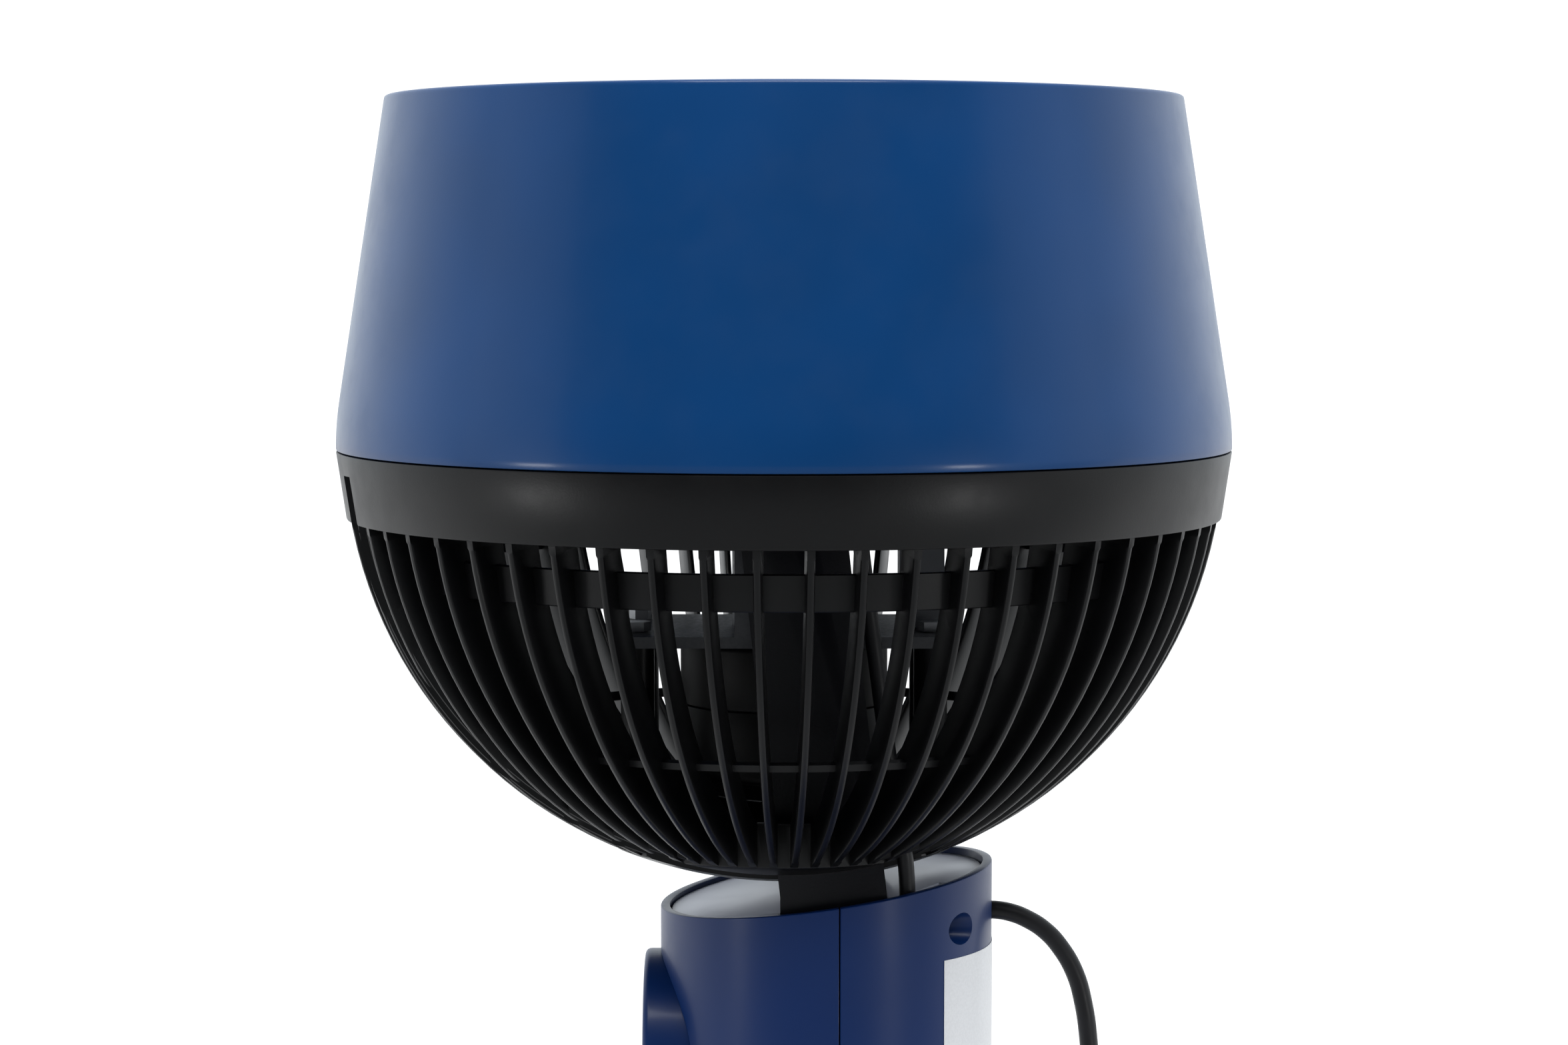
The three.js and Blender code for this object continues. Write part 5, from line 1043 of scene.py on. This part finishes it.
# %% [markdown]
# ## The base
# A low dome spreads the weight and rises in one sweep to the column's foot. It is turned
# from a curve with a rounded lower edge and an even wall.

# %% Spin the base
BASE_RADIUS, BASE_LIFT, BASE_WALL = 95, 2.5, 2.5
BASE_SWEEP = [(BASE_RADIUS, 8, 0.4), (90, 16, 1), (52, 16, 1), (COLUMN_RADIUS, 30, 0.4)]
COLLAR, COLLAR_BORE, COLLAR_FOOT, COLLAR_HEAD = 42.2, 39.7, 30, 38
BOSS_CIRCLE, FOOT_CIRCLE, FOOT_RADIUS, FOOT_HEIGHT = 72, 79, 8, 3


def base_curve(inset, count):
    """The dome's sweep up to the column's foot, moved in by an inset."""
    controls = [(r - inset, z - inset * share) for r, z, share in BASE_SWEEP]
    return bent(*controls, count=count)


def on_circle(bm, radius, angle):
    """Moves a shape to an angle on a circle round the column's axis."""
    return shift(bm, radius * math.cos(angle), radius * math.sin(angle) + COLUMN_Y)


base_profile = [(BASE_RADIUS - BASE_WALL, BASE_LIFT), (BASE_RADIUS, BASE_LIFT)]
base_profile += base_curve(0, 28) + [(COLLAR, COLLAR_FOOT), (COLLAR, COLLAR_HEAD)]
base_profile += [(COLLAR_BORE, COLLAR_HEAD), (COLLAR_BORE, 26.5)]
base_profile += base_curve(BASE_WALL, 16)[:-1][::-1]
base_bm = shift(soften(spun(base_profile, 224), 0.5, 2, 50), y=COLUMN_Y)
bosses = []
for i in range(3):
    angle = math.pi / 2 + 2 * math.pi * i / 3
    bosses += joining(on_circle(rod(4, 6.6, 15.0, 32), BOSS_CIRCLE, angle))
    bosses += cutting(on_circle(rod(SCREW_HOLE, 6, 12, 20), BOSS_CIRCLE, angle))
base_bm = carved(base_bm, bosses)
piece("base_dome", base_bm, COLUMN_BLUE, "stand", "column_plastic", "base_cover")

for i in range(4):
    foot_bm = soften(rod(FOOT_RADIUS, 0, FOOT_HEIGHT), 0.6, 2)
    on_circle(foot_bm, FOOT_CIRCLE, math.pi / 4 + math.pi / 2 * i)
    piece(f"foot_{i + 1}", foot_bm, FOOT_RUBBER, "stand", "foot_rubber", f"foot_pad_{i + 1}")

# %% [markdown]
# ## The fork's prongs
# Two flat bars rise from the column's foot block through the slots to the tilt axis, where
# they end in a half circle. A bar is a block whose top is let into a round disc.

# %% Shape the prongs
PRONG_INNER, PRONG_OUTER, PRONG_RADIUS, PIN_HOLE = 31.5, 38.5, 14, 4.3
PRONG_FOOT, PRONG_BEND = 118.1, 157.4
FLANGE_INNER, FLANGE_HEIGHT, FLANGE_SCREW_X = 11.0, 4, 17.15

for name, side in SIDES:
    span = on_side(side, PRONG_INNER, PRONG_OUTER)
    prong_bm = block(span, (-PRONG_RADIUS, PRONG_RADIUS), (PRONG_BEND, PIVOT_Z))
    for v in prong_bm.verts:
        if v.co.z < PIVOT_Z - 1:
            v.co.y += 13
    lower = block(span, (-1, 27), (PRONG_FOOT, PRONG_BEND + 0.05))
    flange_span = on_side(side, FLANGE_INNER, PRONG_INNER + 0.5)
    flange = block(flange_span, (3, 24), (PRONG_FOOT, PRONG_FOOT + FLANGE_HEIGHT))
    disc = shift(turn(rod(PRONG_RADIUS, *span, 96), 90, "Y"), z=PIVOT_Z)
    hole = shift(turn(rod(PIN_HOLE, span[0] - 1, span[1] + 1), 90, "Y"), z=PIVOT_Z)
    flange_hole = shift(rod(SCREW_HOLE, 117, 123, 20), x=side * FLANGE_SCREW_X, y=13)
    prong_bm = carved(prong_bm, joining(disc, lower, flange) + cutting(hole, flange_hole))
    bmesh.ops.dissolve_limit(
        prong_bm, angle_limit=math.radians(1), verts=prong_bm.verts, edges=prong_bm.edges
    )
    soften(prong_bm, 0.6, 2, 50)
    piece(f"prong_{name}", prong_bm, FORK_BLACK, "stand", "fork_paint", f"fork_prong_{name}")

# %% [markdown]
# ## The blank label
# A white sticker wraps the rear of the column. It is a strip of the column's own wall, a
# hair further out, so it is spun from one upright line through its angle.

# %% Stick the label on
LABEL_HALF_ANGLE, LABEL_LOW, LABEL_TOP, LABEL_THICKNESS = 47, 72.0, 139.6, 0.12
label_bm = bmesh.new()
label_bm.edges.new([
    label_bm.verts.new((0, COLUMN_RADIUS + 0.04, z)) for z in (LABEL_LOW, LABEL_TOP)
])
turn(label_bm, -LABEL_HALF_ANGLE, "Z")
sweep(label_bm, (0, 0, 1), math.radians(2 * LABEL_HALF_ANGLE), 64)
walled(label_bm, LABEL_THICKNESS, (0, 0, (LABEL_LOW + LABEL_TOP) / 2), grows=True)
shift(label_bm, y=COLUMN_Y)
piece("blank_label", label_bm, LABEL_WHITE, "stand", "column_plastic")

# %% [markdown]
# ## The plug
# The cord ends in a flat two-pin plug with a ribbed sleeve. The body is a block narrowed
# towards the cord by moving its end in, then rounded. It lies flat beside the coil.

# %% Model the plug
PLUG_PLACE = (-77.0, 137.7, 8.1)
PLUG_WAIST_Y, PIN_X, PIN_RADIUS, PIN_TIP = -14, 9.5, 2.0, 55
plug_bm = block((-13.5, 13.5), (-36, 0), (-8, 8))
cut_at(plug_bm, (0, PLUG_WAIST_Y, 0), (0, 1, 0), clear=False)
for v in plug_bm.verts:
    if v.co.y > -1:
        v.co.x *= 0.33
        v.co.z *= 0.62
shift(soften(plug_bm, 2.6, 4, 20), *PLUG_PLACE)
plug_piece = piece("plug_body", plug_bm, CORD_BLACK, "stand", "cord_rubber", "mains_plug")

pins_bm = repeat(shift(soften(rod(PIN_RADIUS, 35, PIN_TIP, 24), 0.9, 3), x=PIN_X), 2)
shift(turn(pins_bm, 90, "X"), *PLUG_PLACE)
pins_piece = piece("plug_pins", pins_bm, PIN_NICKEL, "stand", "screw_steel")

sleeve_profile = [(2.55, 0.2)]
for i in range(6):
    y, r = 1 + i * 3.2, 4.6 - i * 0.28
    sleeve_profile += [(r, y), (r, y + 2.0), (r - 0.6, y + 2.2), (r - 0.6, y + 3.0)]
sleeve_profile += [(2.55, 20.6)]
sleeve_bm = shift(turn(spun(sleeve_profile, 40), -90, "X"), *PLUG_PLACE)
sleeve_piece = piece("plug_sleeve", sleeve_bm, CORD_BLACK, "stand", "cord_rubber")

# %% [markdown]
# ## The cord and what hangs on it
# Whoever makes the fan's real cord needs its length, thickness and stiffness, and which
# pieces move with it. Its length and thickness are given above, and the plug's pieces ride
# on the stand, as the cord does.

# %% [markdown]
# ## Finishes for the parts that stay
# The parts of the frame whose shape is right keep their mesh and only get a finish. The
# table below gives each finish the starts of its parts' names.

# %% Dress the frame's own parts
FINISHES = {
    GRILLE_BLACK: "base_plate fork_foot lead_clip", FORK_BLACK: "pivot_pin",
    ZINC_STEEL: "ballast_disc base_screw prong_screw fork_screw bracket_screw pivot_nut switch_nut",
    TURNED_STEEL: "switch_shaft motor_shaft", LAMINATED_STEEL: "stator rotor",
    CAST_ALUMINIUM: "tilt_bracket", BRONZE: "bushing", SWITCH_GREY: "rotary_switch capacitor",
    NYLON_WHITE: "friction_washer", CORD_BLACK: "cord_gland",
}
for cord in (mains_flex, motor_flex):
    cord.data.materials.append(CORD_BLACK)
shown = [(name, node) for name, node in frame["nodes"].items() if not node.hide_render]
for name, node in shown:
    node.data.materials.clear()
    for look, starts in FINISHES.items():
        if name.startswith(tuple(starts.split())):
            node.data.materials.append(look)
print("dressed", len(shown), "of the frame's parts")

# %% [markdown]
# ## Light, floor and background
# The fan stands on a plain pale floor in a studio whose far wall is white and whose near
# side, behind the camera, is dark. Camera rays see pure white everywhere. Reflections see
# white at the far side and at both sides, which gives the blue plastic its pale, hazy edges,
# and little light near the camera, which keeps the blacks deep. Soft lamps above, and weak
# ones at the sides, light it.

# %% Light the scene
ROOM_NEAR, ROOM_FAR = 0.03, 1.15
FILL_NEAR, FILL_FAR = 0.35, 0.7
COOL_WHITE, WHITE, BLACK = (0.90, 0.96, 1.0, 1.0), (1, 1, 1, 1), (0, 0, 0, 1)
LAMPS = {  # where each is, how wide and high, and its power in watts
    "high_key": ((1.15, 0, 1.95), (1.6, 1.0), 36),
    "far_top": ((-0.6, 0, 1.9), (1.4, 1.4), 4),
    "rear_softbox": ((0.55, 1.5, 0.5), (0.8, 1.2), 0.9),
    "front_softbox": ((0.55, -1.5, 0.5), (0.8, 1.2), 0.9),
    "low_rear_strip": ((0.85, 0.80, 0.07), (0.16, 0.12), 0.9),
    "low_front_strip": ((0.55, -1.0, 0.07), (0.20, 0.12), 0.9),
}
LIT_PLACE = Vector((0, 0, 0.28))
scene.view_settings.view_transform = "Standard"

scene.world = bpy.data.worlds.new("studio")
scene.world.use_nodes = True
room = Graph(scene.world.node_tree)
direction = room.node("ShaderNodeTexCoord")
towards = room.node("ShaderNodeSeparateXYZ", sockets={0: direction})
far_side = room.ramp(towards, 0.85, -0.7)
fill = (far_side * FILL_FAR + FILL_NEAR) * room.node("ShaderNodeLightPath", output=2)
glow = far_side * ROOM_FAR + ROOM_NEAR + fill
background = room.node("ShaderNodeLightPath")
lit = room.node("ShaderNodeMath", {"operation": "MAXIMUM"}, {0: background, 1: glow})
sky = room.tree.nodes["Background"].inputs
room.put(sky["Strength"], lit)
room.put(sky["Color"], room.mixed(background, COOL_WHITE, WHITE))

for name, (place, size, power) in LAMPS.items():
    softbox = bpy.data.lights.new(name, "AREA")
    softbox.shape, softbox.energy = "RECTANGLE", power
    softbox.size, softbox.size_y = size
    lamp = placed(name, softbox)
    lamp.location = place
    lamp.rotation_euler = (LIT_PLACE - lamp.location).to_track_quat("-Z", "Y").to_euler()

FLOOR_GREY, FLOOR_GLOW, FLOOR_SIDES = (linear((level,) * 3) for level in (124, 230, 218))
floor_bm = bmesh.new()
bmesh.ops.create_grid(floor_bm, x_segments=1, y_segments=1, size=6)
floor = mesh_object("floor", floor_bm)
pale = Look("floor_pale", Base_Color=FLOOR_GREY, Roughness=0.6, Emission_Strength=1.0)
camera_ray = pale.node("ShaderNodeLightPath")
across = pale.node("ShaderNodeSeparateXYZ", sockets={0: pale.place()})
beside = pale.mixed(pale.ramp(across, 0.35, -0.15), BLACK, FLOOR_SIDES)
pale.set(Emission_Color=pale.mixed(camera_ray, beside, FLOOR_GLOW))
floor.data.materials.append(pale.material)
